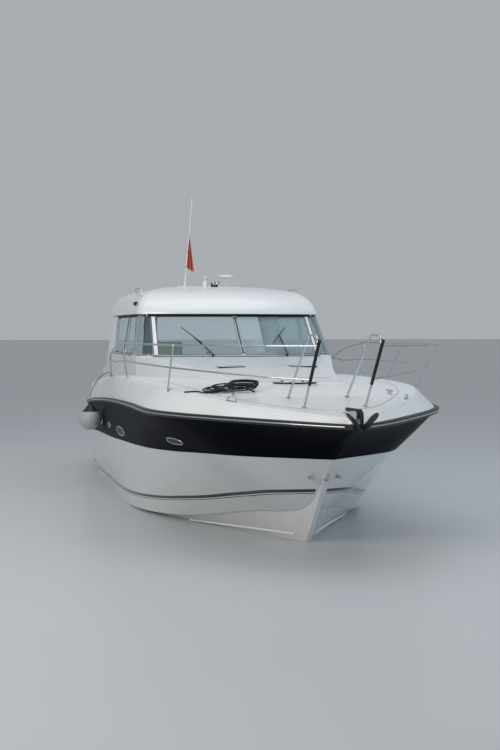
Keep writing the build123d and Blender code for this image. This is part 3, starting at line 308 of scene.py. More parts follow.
COAT_ROUGHNESS = 0.08
SECOND_SHARE = 0.8
CLOUD_SCALE, CLOUD_DETAIL = 1.7, 5.0
CLOUD_LOW, CLOUD_MIDDLE = 0.25, 0.5
PLANK_GAP = 0.93
GLOSS_SPREAD = 0.14


class Graph:
    """Small helper round one material's node tree."""

    def __init__(self, name: str) -> None:
        """Makes an empty node material.

        Args:
            name: Name of the material.
        """
        self.material = bpy.data.materials.new(name)
        self.material.use_nodes = True
        self.tree = self.material.node_tree
        self.tree.nodes.clear()

    def add(self, kind: str, settings: dict | None = None,
            **inputs: Socket | float | Sequence) -> bpy.types.Node:
        """Adds a node.

        Args:
            kind: Type name of the node, without its ShaderNode part.
            settings: Attributes of the node.
            inputs: Value or socket for each input, by name with _ for a blank, or by in_ and its number.

        Returns:
            The node.
        """
        node = self.tree.nodes.new("ShaderNode" + kind)
        for key, value in (settings or {}).items():
            setattr(node, key, value)
        for key, value in inputs.items():
            socket = node.inputs[int(key[3:]) if key.startswith("in_") else key.replace("_", " ")]
            if isinstance(value, Socket):
                self.tree.links.new(value, socket)
            else:
                socket.default_value = value
        return node

    def place(self) -> Socket:
        """Object coordinates."""
        return self.add("TexCoord").outputs["Object"]

    def maths(self, operation: str, first: Socket | float, second: Socket | float = 0.0) -> Socket:
        """Result of one scalar operation."""
        return self.add("Math", {"operation": operation}, in_0=first, in_1=second).outputs[0]

    def times(self, first: Socket | float, second: Socket | float) -> Socket:
        """Product."""
        return self.maths("MULTIPLY", first, second)

    def plus(self, first: Socket | float, second: Socket | float) -> Socket:
        """Sum."""
        return self.maths("ADD", first, second)

    def between(self, value: Socket, low: Socket | float, high: float) -> Socket:
        """One where a value lies between two levels, and nought elsewhere."""
        return self.times(self.above(value, low), self.maths("LESS_THAN", value, high))

    def above(self, value: Socket, low: Socket | float) -> Socket:
        """One where a value is more than a level, and nought elsewhere."""
        return self.maths("GREATER_THAN", value, low)

    def blend(self, share: Socket, first: Socket | Sequence, second: Socket | Sequence) -> Socket:
        """Colour between two colours."""
        return self.add("Mix", {"data_type": "RGBA"}, in_0=share, in_6=first, in_7=second).outputs[2]

    def noise(self, place: Socket, scale: float, detail: float = 3.0) -> Socket:
        """Noise between 0 and 1."""
        return self.add("TexNoise", None, Vector=place, Scale=scale, Detail=detail).outputs[0]

    def wave(self, place: Socket, scale: float, distortion: float = 0.0, **settings: str) -> Socket:
        """Height of a pattern of parallel waves."""
        return self.add("TexWave", settings, Vector=place, Scale=scale, Distortion=distortion).outputs[1]

    def stretched(self, place: Socket, scale: Point) -> Socket:
        """Coordinates with each axis scaled."""
        return self.add("Mapping", None, Vector=place, Scale=scale).outputs[0]

    def bump(self, height: Socket, strength: float, distance: float) -> Socket:
        """Normal from a height."""
        return self.add("Bump", None, Height=height, Strength=strength, Distance=distance).outputs[0]

    def shade(self, metal: float = 0.0, coat: float = 0.0, sheen: float = 0.0,
              **inputs: Socket | float) -> bpy.types.Material:
        """Closes the material with its surface shader.

        Args:
            metal: Metallic share.
            coat: Weight of the clear coat.
            sheen: Weight of the fabric sheen.
            inputs: Further inputs of the shader, which go before these.

        Returns:
            The material.
        """
        values = {"Metallic": metal, "Coat_Weight": coat, "Coat_Roughness": COAT_ROUGHNESS,
                  "Sheen_Weight": sheen} | inputs
        return self.close(self.add("BsdfPrincipled", None, **values))

    def close(self, shader: bpy.types.Node) -> bpy.types.Material:
        """Links the last shader to the output."""
        self.tree.links.new(shader.outputs[0], self.add("OutputMaterial").inputs["Surface"])
        return self.material


class Paints:
    """Makes each material once."""

    def __init__(self) -> None:
        """Starts with no material made."""
        self.made: dict[str, bpy.types.Material] = {}

    def get(self, paint: Finish | bpy.types.Material) -> bpy.types.Material:
        """Material of a finish, or the material itself.

        Args:
            paint: A finish, or a material that is made already.

        Returns:
            The material.
        """
        if not isinstance(paint, Finish):
            return paint
        if paint.name not in self.made:
            self.made[paint.name] = self.plain(paint)
        return self.made[paint.name]

    @staticmethod
    def relief(graph: Graph, finish: Finish) -> tuple[Socket, float]:
        """Height pattern of a finish and the bump's distance in metres.

        Args:
            graph: Material that takes the pattern.
            finish: The finish.

        Returns:
            The height and the distance.
        """
        place = graph.place()
        match finish.relief:
            case Relief.WOOD:
                return graph.noise(graph.stretched(place, (1.0, 12.0, 12.0)), finish.scale, 8.0), 0.0005
            case Relief.BRUSHED:
                return graph.noise(graph.stretched(place, (1.0, 40.0, 40.0)), finish.scale, 2.0), 0.0003
            case Relief.WEAVE:
                return graph.wave(place, finish.scale, 1.5, bands_direction="DIAGONAL"), 0.0005
            case Relief.ROPE:
                strand = graph.stretched(graph.add("TexCoord").outputs["UV"], (finish.scale * 10, 3.0, 1.0))
                return graph.wave(strand, 0.5, 0.4, bands_direction="DIAGONAL"), 0.002
            case Relief.PLANKS:
                waves = finish.scale / math.tau
                return graph.wave(place, waves, bands_direction="Y", wave_profile="SAW"), 0.002
            case _:
                return graph.noise(place, finish.scale, 4.0), 0.001

    def plain(self, finish: Finish) -> bpy.types.Material:
        """Material with one relief, a slight colour change and uneven gloss.

        Args:
            finish: The finish.

        Returns:
            The material.
        """
        graph = Graph(finish.name)
        height, distance = self.relief(graph, finish)
        cloud = graph.noise(graph.place(), CLOUD_SCALE, CLOUD_DETAIL)
        share = graph.times(graph.plus(cloud, -CLOUD_LOW), SECOND_SHARE)
        if finish.relief in (Relief.WOOD, ROPE, WEAVE):
            share = graph.times(height, SECOND_SHARE)
        if finish.relief is Relief.PLANKS:
            share = graph.above(height, PLANK_GAP)
        share = graph.add("Clamp", None, Value=share).outputs[0]
        colour = graph.blend(share, linear(finish.colour), linear(finish.second))
        rough = graph.plus(graph.times(graph.plus(cloud, -CLOUD_MIDDLE), GLOSS_SPREAD), finish.rough)
        return graph.shade(finish.metal, finish.coat, finish.sheen, Base_Color=colour, Roughness=rough,
                           Normal=graph.bump(height, finish.depth, distance))


@dataclass(frozen=True)
class HeightLine:
    """Height that changes along the boat, as points of x and z."""

    points: tuple[Pair, ...]

    def at(self, graph: Graph, along: Socket) -> Socket:
        """Height of the line at the point that is shaded.

        Args:
            graph: Material that takes the line.
            along: x of the point that is shaded.

        Returns:
            The height.
        """
        low, high = self.points[0][0], self.points[-1][0]
        heights = [z for _, z in self.points]
        bottom, top = min(heights) - 0.05, max(heights) + 0.05
        share = graph.add("MapRange", None, Value=along, From_Min=low, From_Max=high).outputs[0]
        node = graph.add("FloatCurve", None, Value=share)
        curve = node.mapping.curves[0]
        spots = [((x - low) / (high - low), (z - bottom) / (top - bottom)) for x, z in self.points]
        for spot in spots[1:-1]:
            curve.points.new(*spot)
        curve.points[0].location = spots[0]
        curve.points[-1].location = spots[-1]
        node.mapping.update()
        return graph.add("MapRange", None, Value=node.outputs[0], To_Min=bottom, To_Max=top).outputs[0]


BAND_EDGE = HeightLine(((-5.4, 0.78), (-3.0, 0.93), (-0.6, 1.03), (0.0, 1.06), (2.0, 1.13), (3.0, 1.17),
                        (4.12, 1.22), (6.0, 1.225)))
STRIPE_TOP = HeightLine(((-5.4, 0.165), (-3.0, 0.19), (-1.0, 0.225), (1.0, 0.31), (2.5, 0.47), (3.5, 0.645),
                         (4.2, 0.76), (6.0, 0.93)))
STRIPE, HAIRLINE = (0.0, 0.042), (0.056, 0.066)
STEM_HALF = 0.075
BOTTOM_TOP = -0.04


def hull_material() -> bpy.types.Material:
    """Hull: white topsides, navy band under the rail, boot stripe with a hairline, and dark bottom paint.

    Returns:
        The material.
    """
    graph = Graph("hull_paint")
    place = graph.place()
    along, across, up = graph.add("SeparateXYZ", None, Vector=place).outputs
    across = graph.maths("ABSOLUTE", across)
    wave = graph.noise(place, 1.3, 4.0)
    # The band ends at the transom, and stays off the inner walls of the cockpit and the saloon
    inner = graph.add("MapRange", None, Value=along, From_Min=-2.0, From_Max=2.0, To_Min=1.5, To_Max=0.0)
    band = graph.times(graph.above(up, BAND_EDGE.at(graph, along)), graph.above(along, TRANSOM_X + 0.02))
    band = graph.times(band, graph.above(across, inner.outputs[0]))
    below = graph.maths("SUBTRACT", STRIPE_TOP.at(graph, along), up)
    stripe = graph.plus(graph.between(below, *STRIPE), graph.between(below, *HAIRLINE))
    stripe = graph.times(stripe, graph.above(across, STEM_HALF))
    bottom = graph.maths("LESS_THAN", up, BOTTOM_TOP)
    colour = graph.blend(band, graph.blend(wave, linear("dfe2e4"), linear("cdd2d6")),
                         graph.blend(wave, linear("05070f"), linear("080c18")))
    colour = graph.blend(stripe, colour, linear("07080c"))
    colour = graph.blend(bottom, colour, graph.blend(wave, linear("16202f"), linear("1d2a3c")))
    rough = graph.plus(graph.plus(graph.times(wave, 0.08), 0.16), graph.times(bottom, 0.5))
    return graph.shade(Base_Color=colour, Roughness=graph.plus(rough, graph.times(band, 0.20)),
                       Coat_Weight=graph.plus(graph.times(band, -0.70), 0.7),
                       Specular_IOR_Level=graph.plus(graph.times(band, -0.48), 0.5),
                       Normal=graph.bump(graph.noise(place, 1.1, 2.0), 0.05, 0.004))


def deck_material() -> bpy.types.Material:
    """Deck moulding: smooth gelcoat with fine grit on the side decks and the foredeck.

    Returns:
        The material.
    """
    graph = Graph("deck_moulding")
    place = graph.place()
    along, _, up = graph.add("SeparateXYZ", None, Vector=place).outputs
    wave = graph.noise(place, 1.4, 4.0)
    level = graph.add("SeparateXYZ", None, Vector=graph.add("NewGeometry").outputs["Normal"]).outputs[2]
    zone = graph.times(graph.above(level, 0.93), graph.between(up, 1.10, 2.14))
    zone = graph.times(zone, graph.maths("LESS_THAN", along, 4.30))
    dots = graph.add("TexVoronoi", None, Vector=place, Scale=210.0).outputs[0]
    colour = graph.blend(wave, linear("e6eaed"), linear("d9dfe3"))
    colour = graph.blend(graph.times(zone, 0.8), colour, linear("dbe0e3"))
    return graph.shade(coat=0.25, Base_Color=colour, Roughness=graph.plus(graph.times(zone, 0.3), 0.26),
                       Normal=graph.bump(graph.times(zone, graph.times(dots, 0.6)), 0.35, 0.001))


def glass_material() -> bpy.types.Material:
    """Thin see-through sheet with a faint tint, smears and a sheen that grows at the edges of sight.

    Returns:
        The material.
    """
    graph = Graph("window_glass")
    colour = graph.blend(graph.noise(graph.place(), 3.0, 5.0), linear("b9cbd3"), linear("dfe8ec"))
    shader = graph.add("BsdfPrincipled", None, Base_Color=colour, Roughness=0.04, Specular_IOR_Level=0.9)
    facing = graph.add("LayerWeight", None, Blend=0.25).outputs["Fresnel"]
    shine = graph.plus(graph.times(facing, 0.30), 0.03)
    clear = graph.add("BsdfTransparent", None, Color=(0.86, 0.93, 0.95, 1.0))
    mixed = graph.add("MixShader", None, in_0=shine, in_1=clear.outputs[0], in_2=shader.outputs[0])
    return graph.close(mixed)


# Mesh tools


def put(name: str, data: bpy.types.ID) -> bpy.types.Object:
    """Puts a new object into the scene.

    Args:
        name: Name of the object.
        data: Mesh, curve, camera or light that it shows.

    Returns:
        The object.
    """
    made = bpy.data.objects.new(name, data)
    bpy.context.scene.collection.objects.link(made)
    return made


def even(low: float, high: float, count: int) -> list[float]:
    """Evenly spaced values from one end to the other."""
    return [low + (high - low) * i / (count - 1) for i in range(count)]


def around(radius: float, count: int) -> list[Pair]:
    """Points of a circle."""
    turns = [2 * math.pi * i / count for i in range(count)]
    return [(radius * math.cos(a), radius * math.sin(a)) for a in turns]


def slab(width: float, low: float, high: float) -> list[Pair]:
    """Flat strip profile between two heights, with its top corners taken off.

    Args:
        width: Width of the strip.
        low: Height of its foot.
        high: Height of its top.

    Returns:
        Points round the profile.
    """
    half, cut = width / 2, min(width, high - low) * 0.22
    return [(-half, low), (half, low), (half, high - cut), (half - cut, high), (-half + cut, high),
            (-half, high - cut)]


def half_round(width: float, low: float, high: float) -> list[Pair]:
    """Half-round strip profile.

    Args:
        width: Width of the strip.
        low: Height of its foot.
        high: Height of its top.

    Returns:
        Points round the profile.
    """
    turns = even(0, math.pi, 9)
    arc = [(width / 2 * math.cos(a), high * math.sin(a)) for a in turns]
    return [(width / 2, low), *arc, (-width / 2, low)]


def grid(mesh: Mesh, rows: Iterable[Iterable[Vector]]) -> None:
    """Adds an open sheet of faces through rows of points.

    Args:
        mesh: Mesh that takes the shape.
        rows: Points of each row, all rows with the same number.
    """
    made = [[mesh.verts.new(spot) for spot in row] for row in rows]
    for first, second in zip(made, made[1:]):
        for corners in zip(first, first[1:], second[1:], second):
            mesh.faces.new(corners)


def skin(mesh: Mesh, rings: Iterable[Iterable[Vector]], closed: bool = False,
         first_cap: bool = True) -> None:
    """Adds the faces round a row of rings, and over its two ends.

    Args:
        mesh: Mesh that takes the faces.
        rings: Points of each ring, where a ring of one point is a tip.
        closed: Whether the last ring joins the first.
        first_cap: Whether the first ring is covered too.
    """
    made = [[mesh.verts.new(spot) for spot in ring] for ring in rings]
    for first, second in zip(made, made[1:] + (made[:1] if closed else [])):
        count = max(len(first), len(second))
        for i in range(count):
            j = (i + 1) % count
            corners = (first[i % len(first)], first[j % len(first)], second[j % len(second)],
                       second[i % len(second)])
            mesh.faces.new(dict.fromkeys(corners))
    for ring, covered in ((made[0][::-1], first_cap), (made[-1], True)):
        if covered and not closed and len(ring) > 1:
            mesh.faces.new(ring)


def sweep(mesh: Mesh, path: Sequence[Vector], ups: Sequence[Vector], profile: Profile,
          closed: bool = False) -> None:
    """Adds a strip or bar that follows a path.

    Args:
        mesh: Mesh that takes the strip.
        path: Points of the path.
        ups: Direction of the profile's second axis at each point.
        profile: Points of the profile, round its edge.
        closed: Whether the path ends where it began.
    """
    rings, last = [], len(path) - 1
    for i, (spot, up) in enumerate(zip(path, ups)):
        before = path[i - 1] if i or closed else spot
        after = path[(i + 1) % len(path)] if i < last or closed else spot
        tangent = (after - before).normalized()
        across = tangent.cross(up).normalized()
        above = across.cross(tangent)
        rings.append([spot + across * u + above * v for u, v in profile])
    skin(mesh, rings, closed)


def tube(mesh: Mesh, path: Iterable[Sequence[float]], radius: float, count: int = 12,
         closed: bool = False) -> None:
    """Adds a round bar along a path, whose up directions turn as little as they can.

    Args:
        mesh: Mesh that takes the shape.
        path: Points of the path.
        radius: Radius of the bar.
        count: Number of facets round it.
        closed: Whether the path ends where it began.
    """
    path = [Vector(spot) for spot in path]
    up = (path[1] - path[0]).normalized().orthogonal().normalized()
    ups = []
    for before, after in zip([path[0], *path], [*path[1:], path[-1]]):
        tangent = (after - before).normalized()
        up = (up - tangent * up.dot(tangent)).normalized()
        ups.append(up.copy())
    sweep(mesh, path, ups, around(radius, count), closed)


def smooth(points: Iterable[Sequence[float]], steps: int = 8) -> list[Vector]:
    """Points on a smooth line through the given ones.

    Args:
        points: Points that the line goes through.
        steps: Points made for each span.

    Returns:
        Points along the line, with the last one given.
    """
    spots = [Vector(p) for p in points]
    found = []
    for a, b, c, d in zip([spots[0], *spots], spots, spots[1:], [*spots[2:], spots[-1]]):
        for t in (s / steps for s in range(steps)):
            found.append(0.5 * ((2 * b) + (c - a) * t + (2 * a - 5 * b + 4 * c - d) * t * t
                                + (3 * b - a - 3 * c + d) * t**3))
    return [*found, spots[-1]]


def towards(place: Sequence[float], axis: Vector) -> Matrix:
    """Frame at a place whose Z runs along an axis."""
    return Matrix.Translation(place) @ axis.to_track_quat("Z", "Y").to_matrix().to_4x4()


def lathe(mesh: Mesh, profile: Profile, place: Sequence[float], axis: Vector = UP, count: int = 32) -> None:
    """Adds a turned shape.

    Args:
        mesh: Mesh that takes the shape.
        profile: Radius and height of each ring, from one end to the other.
        place: Place where the height is nought.
        axis: Direction of the axis.
        count: Number of facets round the axis.
    """
    frame = towards(place, axis)
    skin(mesh, [[frame @ Vector((x, y, height)) for x, y in around(radius, count if radius else 1)]
                for radius, height in profile])


def box(mesh: Mesh, low: Point, high: Point, bevel: float = 0.0, frame: Matrix | None = None) -> None:
    """Adds a block between two corners, with rounded edges if a bevel is given.

    Args:
        mesh: Mesh that takes the shape.
        low: Lower corner.
        high: Upper corner.
        bevel: Radius of the edges.
        frame: Frame that the corners are given in.
    """
    middle = Vector([(a + b) / 2 for a, b in zip(low, high)])
    size = Vector([abs(b - a) for a, b in zip(low, high)])
    place = (frame or Matrix()) @ Matrix.LocRotScale(middle, None, size)
    verts = bmesh.ops.create_cube(mesh, size=1.0, matrix=place)["verts"]
    if bevel > 0:
        edges = list({e for v in verts for e in v.link_edges})
        bmesh.ops.bevel(mesh, geom=edges, offset=bevel, segments=3, affect="EDGES", profile=0.5)


class Surface:
    """Finds points on the CAD's own faces, so that fittings sit on them."""

    def __init__(self, frame: dict) -> None:
        """Keeps the loaded frame.
        """
        self.nodes = frame["nodes"]
        self.trees: dict[str, BVHTree] = {}

    def hit(self, node: str, start: Vector, direction: Vector) -> Spot:
        """First point and outward normal of a node that a ray meets.

        Args:
            node: Name of the CAD node.
            start: Start of the ray.
            direction: Direction of the ray.

        Returns:
            The point and the outward normal there.
        """
        if node not in self.trees:
            solid = self.nodes[node].data
            faces = [list(p.vertices) for p in solid.polygons]
            self.trees[node] = BVHTree.FromPolygons([v.co for v in solid.vertices], faces)
        place, normal, _, _ = self.trees[node].ray_cast(start, direction.normalized())
        if place is None:
            raise ValueError(f"no face of {node} lies on the ray from {tuple(start)}")
        return place, -normal if normal.dot(direction) > 0 else normal

    def down(self, node: str, x: float, y: float) -> Spot:
        """Point and normal of a node seen from above."""
        return self.hit(node, Vector((x, y, RAY_TOP)), DOWN)

    def beside(self, node: str, x: float, z: float, side: Side) -> Spot:
        """Point and normal of a node seen from one side."""
        return self.hit(node, Vector((x, side.value * RAY_SIDE, z)), Vector((0, -side.value, 0)))

    def ahead(self, node: str, y: float, z: float) -> Spot:
        """Point and normal of a node seen from ahead."""
        return self.hit(node, Vector((RAY_BOW, y, z)), ASTERN)


@dataclass
class Yard:
    """What every sub-assembly needs: the frame, the paints and the surfaces."""

    frame: dict
    paints: Paints
    surface: Surface

    def piece(self, name: str, finish: Finish, *shapes: tuple, body: str = BOAT, slot: str = "",
              replaces: Sequence[str] = (), sharp: float = 35.0) -> bpy.types.Object:
        """Makes one mesh piece and lets it ride.

        Args:
            name: Name of the piece.
            finish: Its finish.
            shapes: For each shape, the function that adds it and what the function takes after the mesh.
            body: CAD body that it rides on.
            slot: The record's material slot, where it isn't the finish's own.
            replaces: CAD nodes that it stands for.
            sharp: Angle in degrees from which edges are shaded sharp.

        Returns:
            The object.
        """
        work = bmesh.new()
        for function, *values in shapes:
            function(work, *values)
        bmesh.ops.recalc_face_normals(work, faces=work.faces)
        for edge in work.edges:
            edge.smooth = len(edge.link_faces) == 2 and edge.calc_face_angle(math.pi) < math.radians(sharp)
        for face in work.faces:
            face.smooth = True
        mesh = bpy.data.meshes.new(name)
        work.to_mesh(mesh)
        work.free()
        mesh.materials.append(self.paints.get(finish))
        made = put(name, mesh)
        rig.ride(made, body)
        if slot or finish.slot:
            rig.slot(made, slot or finish.slot)
        if replaces:
            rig.replaces(made, *replaces)
        LOG.info("%s rides on %s", name, body)
        return made

    def strip(self, name: str, finish: Finish, runs: Iterable[Sequence[Spot]], profile: Profile,
              closed: bool = False, body: str = BOAT) -> None:
        """Makes one piece of strips that lie on found points.

        Args:
            name: Name of the piece.
            finish: Its finish.
            runs: Lines of points and normals.
            profile: Section of the strip.
            closed: Whether each line ends where it began.
            body: CAD body that it rides on.
        """
        shapes = [(sweep, *zip(*run), profile, closed) for run in runs]
        self.piece(name, finish, *shapes, body=body)

    def paint(self, node: str, paint: Finish | bpy.types.Material) -> None:
        """Gives a CAD node its material.

        Args:
            node: Name of the CAD node.
            paint: Its finish or material.
        """
        solid = self.frame["nodes"][node].data
        solid.materials.clear()
        solid.materials.append(self.paints.get(paint))
        solid.shade_smooth()
        solid.set_sharp_from_angle(angle=math.radians(NODE_SHARP))


# Camera and light


def aim(thing: bpy.types.Object, place: Sequence[float], direction: Vector) -> None:
    """Places a camera or lamp and turns it along a direction.

    Args:
        thing: Camera or lamp.
        place: Place that it gets.
        direction: Direction that it looks in.
    """
    thing.location = place
    thing.rotation_mode = "QUATERNION"
    thing.rotation_quaternion = direction.to_track_quat("-Z", "Y")


@dataclass(frozen=True)
class Shot:
    """Camera and light of the picture.

    Attributes:
        place: Place of the camera.
        heading: Degrees from dead astern that it looks to port.
        pitch: Degrees that it looks down.
        lens: Focal length in millimetres.
        lamps: Name, place, aim, size, power and colour of each soft light.
        surround: Strength of the pale surround.
        far: Half size of the floor.
    """

    place: Point = (18.692, -4.483, 2.88)
    heading: float = 14.0
    pitch: float = 2.34
    lens: float = 55.2
    lamps: tuple[tuple[str, Point, Point, float, float, str], ...] = (
        ("sky", (2.0, 0.0, 14.0), (0.0, 0.0, 1.0), 14.0, 760.0, "f3f6fa"),
        ("key", (11.0, -13.0, 8.5), (0.5, 0.0, 1.6), 7.0, 900.0, "fff1e0"),
        ("fill", (13.0, 12.0, 5.0), (1.0, 0.0, 1.2), 8.0, 420.0, "dbe8f5"),
    )
    surround: float = 0.54
    far: float = 260.0

    def camera(self) -> None:
        """Makes the camera at the picture's place."""
        data = bpy.data.cameras.new("camera")
        data.sensor_fit = "AUTO"
        data.sensor_width = 36.0
        data.lens = self.lens
        data.clip_start, data.clip_end = 0.1, 900.0
        turn, tilt = math.radians(self.heading), math.radians(self.pitch)
        look = Vector((-math.cos(turn) * math.cos(tilt), math.sin(turn) * math.cos(tilt), -math.sin(tilt)))
        camera = put("camera", data)
        aim(camera, self.place, look)
        bpy.context.scene.camera = camera

    def studio(self) -> None:
        """Makes the floor at the waterline, the pale surround and the soft lights."""
        world = bpy.data.worlds.new("surround")
        world.use_nodes = True
        shade = world.node_tree.nodes["Background"]
        shade.inputs["Color"].default_value = linear("dfe4e8")
        shade.inputs["Strength"].default_value = self.surround
        bpy.context.scene.world = world
        for name, place, target, size, power, colour in self.lamps:
            data = bpy.data.lights.new(name, "AREA")
            data.size, data.energy, data.color = size, power, linear(colour)[:3]
            aim(put(name, data), place, Vector(target) - Vector(place))
        mesh, far = bpy.data.meshes.new("floor"), self.far
        mesh.from_pydata([(-far, -far, 0), (far, -far, 0), (far, far, 0), (-far, far, 0)], [], [(0, 1, 2, 3)])
        graph = Graph("floor_paint")
        colour = graph.blend(graph.noise(graph.place(), 0.3, 3.0), linear("c6cbcf"), linear("bfc5ca"))
        mesh.materials.append(graph.shade(Base_Color=colour, Roughness=0.4))
        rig.stage(put("floor", mesh))
        bpy.context.scene.view_settings.view_transform = "Standard"


# Cords


@dataclass
class Cords:
    """The fender's line and the rope that lies on the foredeck.

    Attributes:
        line_points: Route of the fender's line, from the cleat to the fender's eye.
        tail: Start of the rope, as x, y and height over the deck.
        loops: Middle's x and y, half length, half width, turn in degrees and tilt of each loop.
        layers: Height at which each loop starts, and the last one ends.
        head: End of the rope, as x, y and height over the deck.
        steps: Points on each loop.
    """

    yard: Yard
    line_radius: float = 0.006
    rope_radius: float = 0.010
    line_points: tuple[Point, ...] = (
        (-2.315, -1.880, 2.065), (-2.395, -1.880, 2.065), (-2.450, -1.985, 2.045), (-2.478, -2.110, 1.900),
        (-2.489, -2.226, 1.700), (-2.490, -2.232, 1.520),
    )
    tail: tuple[Point, ...] = (
        (3.705, -1.640, 0.010), (3.692, -1.580, 0.010), (3.690, -1.520, 0.010), (3.702, -1.475, 0.010),
        (3.734, -1.447, 0.010),
    )
    loops: tuple[tuple[float, ...], ...] = (
        (3.790, -1.290, 0.150, 0.095, 84.0, 0.004),
        (3.770, -1.250, 0.165, 0.110, 102.0, 0.030),
        (3.800, -1.180, 0.200, 0.120, 76.0, 0.018),
        (3.760, -1.060, 0.230, 0.125, 96.0, 0.040),
        (3.790, -0.960, 0.270, 0.140, 84.0, 0.012),
        (3.775, -0.910, 0.250, 0.115, 100.0, 0.036),
        (3.800, -0.890, 0.240, 0.135, 80.0, 0.020),
        (3.780, -0.870, 0.215, 0.110, 94.0, 0.034),
        (3.795, -0.860, 0.200, 0.125, 72.0, 0.022),
    )
    layers: tuple[float, ...] = (0.010, 0.028, 0.046, 0.060, 0.024, 0.046, 0.068, 0.088, 0.104, 0.116)
    head: tuple[Point, ...] = (
        (3.850, -1.020, 0.124), (3.905, -0.930, 0.096), (3.930, -0.830, 0.050), (3.925, -0.740, 0.014),
    )
    steps: int = 14

    def spline(self, name: str, points: Sequence[Point], radius: float, finish: Finish,
               stands_for: str) -> bpy.types.Object:
        """Makes a round cord on one smooth line.

        Args:
            name: Name of the piece.
            points: Control points.
            radius: Radius of the cord.
            finish: Its finish.
            stands_for: CAD node that it replaces.

        Returns:
            The curve object.
        """
        data = bpy.data.curves.new(name, "CURVE")
        data.dimensions = "3D"
        line = data.splines.new("NURBS")
        line.points.add(len(points) - 1)
        for spot, place in zip(line.points, points):
            spot.co = (*place, 1.0)
        line.order_u = 3
        line.use_endpoint_u = True
        line.resolution_u = 6
        data.bevel_depth = radius
        data.bevel_resolution = 2
        data.use_fill_caps = True
        data.materials.append(self.yard.paints.get(finish))
        cord = put(name, data)
        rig.ride(cord, BOAT)
        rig.replaces(cord, stands_for)
        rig.slot(cord, finish.slot)
        LOG.info("%s rides on %s", name, BOAT)
        return cord

    @staticmethod
    def length(cord: bpy.types.Object) -> float:
        """Length of a cord's own line.

        Args:
            cord: The curve object.

        Returns:
            The length in metres.
        """
        data = cord.data
        depth, data.bevel_depth = data.bevel_depth, 0.0
        bpy.context.view_layer.update()
        line = bpy.data.meshes.new_from_object(cord.evaluated_get(bpy.context.evaluated_depsgraph_get()))
        ends = [[line.vertices[v].co for v in edge.vertices] for edge in line.edges]
        total = sum((a - b).length for a, b in ends)
        bpy.data.meshes.remove(line)
        data.bevel_depth = depth
        return total

    def rope_points(self) -> list[Point]:
        """Control points of the rope: a tail, small open loops, and the long loops that lie on them.

        Returns:
            The points in metres.
        """
        turns = list(self.tail)
        for this, then, low, high in zip(self.loops, [*self.loops[1:], self.loops[-1]], self.layers,
                                         self.layers[1:]):
            for t in (step / self.steps for step in range(self.steps)):
                mid_x, mid_y, long, wide, turn, tilt = (a + (b - a) * t for a, b in zip(this, then))
                lean, angle = math.radians(turn), math.pi + 2 * math.pi * t
                u, v = long * math.cos(angle), wide * math.sin(angle)
                turns.append((mid_x + u * math.cos(lean) - v * math.sin(lean),
                              mid_y + u * math.sin(lean) + v * math.cos(lean),
                              low + (high - low) * t + tilt * (0.5 + 0.5 * math.sin(angle + 0.6))))
        turns += self.head
        return [(round(x, 4), round(y, 4), round(self.yard.surface.down("deck", x, y)[0].z + height, 4))
                for x, y, height in turns]

    def build(self) -> None:
        line = self.spline("fender_line_cord", self.line_points, self.line_radius, NAVY_ROPE, "fender_line")
        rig.cord(line, exit=self.line_points[0], length=round(self.length(line), 3),
                diameter=2 * self.line_radius, far_end="object", stiffness="limp", lay="hanging")
        points = self.rope_points()
        rope = self.spline("mooring_rope", points, self.rope_radius, BLACK_ROPE, "rope_hank")
        ends = [self.whipping("rope_whipping_tail", points[0], points[1]),
                self.whipping("rope_whipping_head", points[-1], points[-2])]
        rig.cord(rope, exit=points[0], length=round(self.length(rope), 2), diameter=2 * self.rope_radius,
                far_end="knot", stiffness="limp", lay="coiled", with_pieces=ends)

    def whipping(self, name: str, tip: Point, inner: Point) -> bpy.types.Object:
        """Twine wound round a rope's end.

        Args:
            name: Name of the piece.
            tip: End of the rope.
            inner: Next point of the rope.

        Returns:
            The object.
        """
        radius = self.rope_radius * 1.12
        rings = [(0.0, -0.002), (radius * 0.8, -0.002)]
        for turn in range(9):
            rings += [(radius, 0.0035 * turn), (radius * 1.07, 0.0035 * turn + 0.0017)]
        rings += [(radius, 0.032), (radius * 0.9, 0.033)]
        inward = (Vector(inner) - Vector(tip)).normalized()
        return self.yard.piece(name, RUBBER, (lathe, rings, tip, inward, 16), slot="black_rope")


# Hull trim


SHEER = (
    (-5.30, 1.370), (-4.20, 1.462), (-3.00, 1.545), (-1.00, 1.655), (1.00, 1.730), (2.50, 1.755),
    (3.50, 1.758), (4.20, 1.755), (4.80, 1.748), (5.30, 1.741), (5.70, 1.732), (5.95, 1.726),
)


def along_table(table: Sequence[Pair], x: float) -> float:
    """Value of a table of x and value at a place between its rows.

    Args:
        table: Rows of x and value.
        x: Place along the boat.

    Returns:
        The value there.
    """
    for (x0, v0), (x1, v1) in zip(table, table[1:]):
        if x <= x1:
            return v0 + (v1 - v0) * (x - x0) / (x1 - x0)
    return table[-1][1]


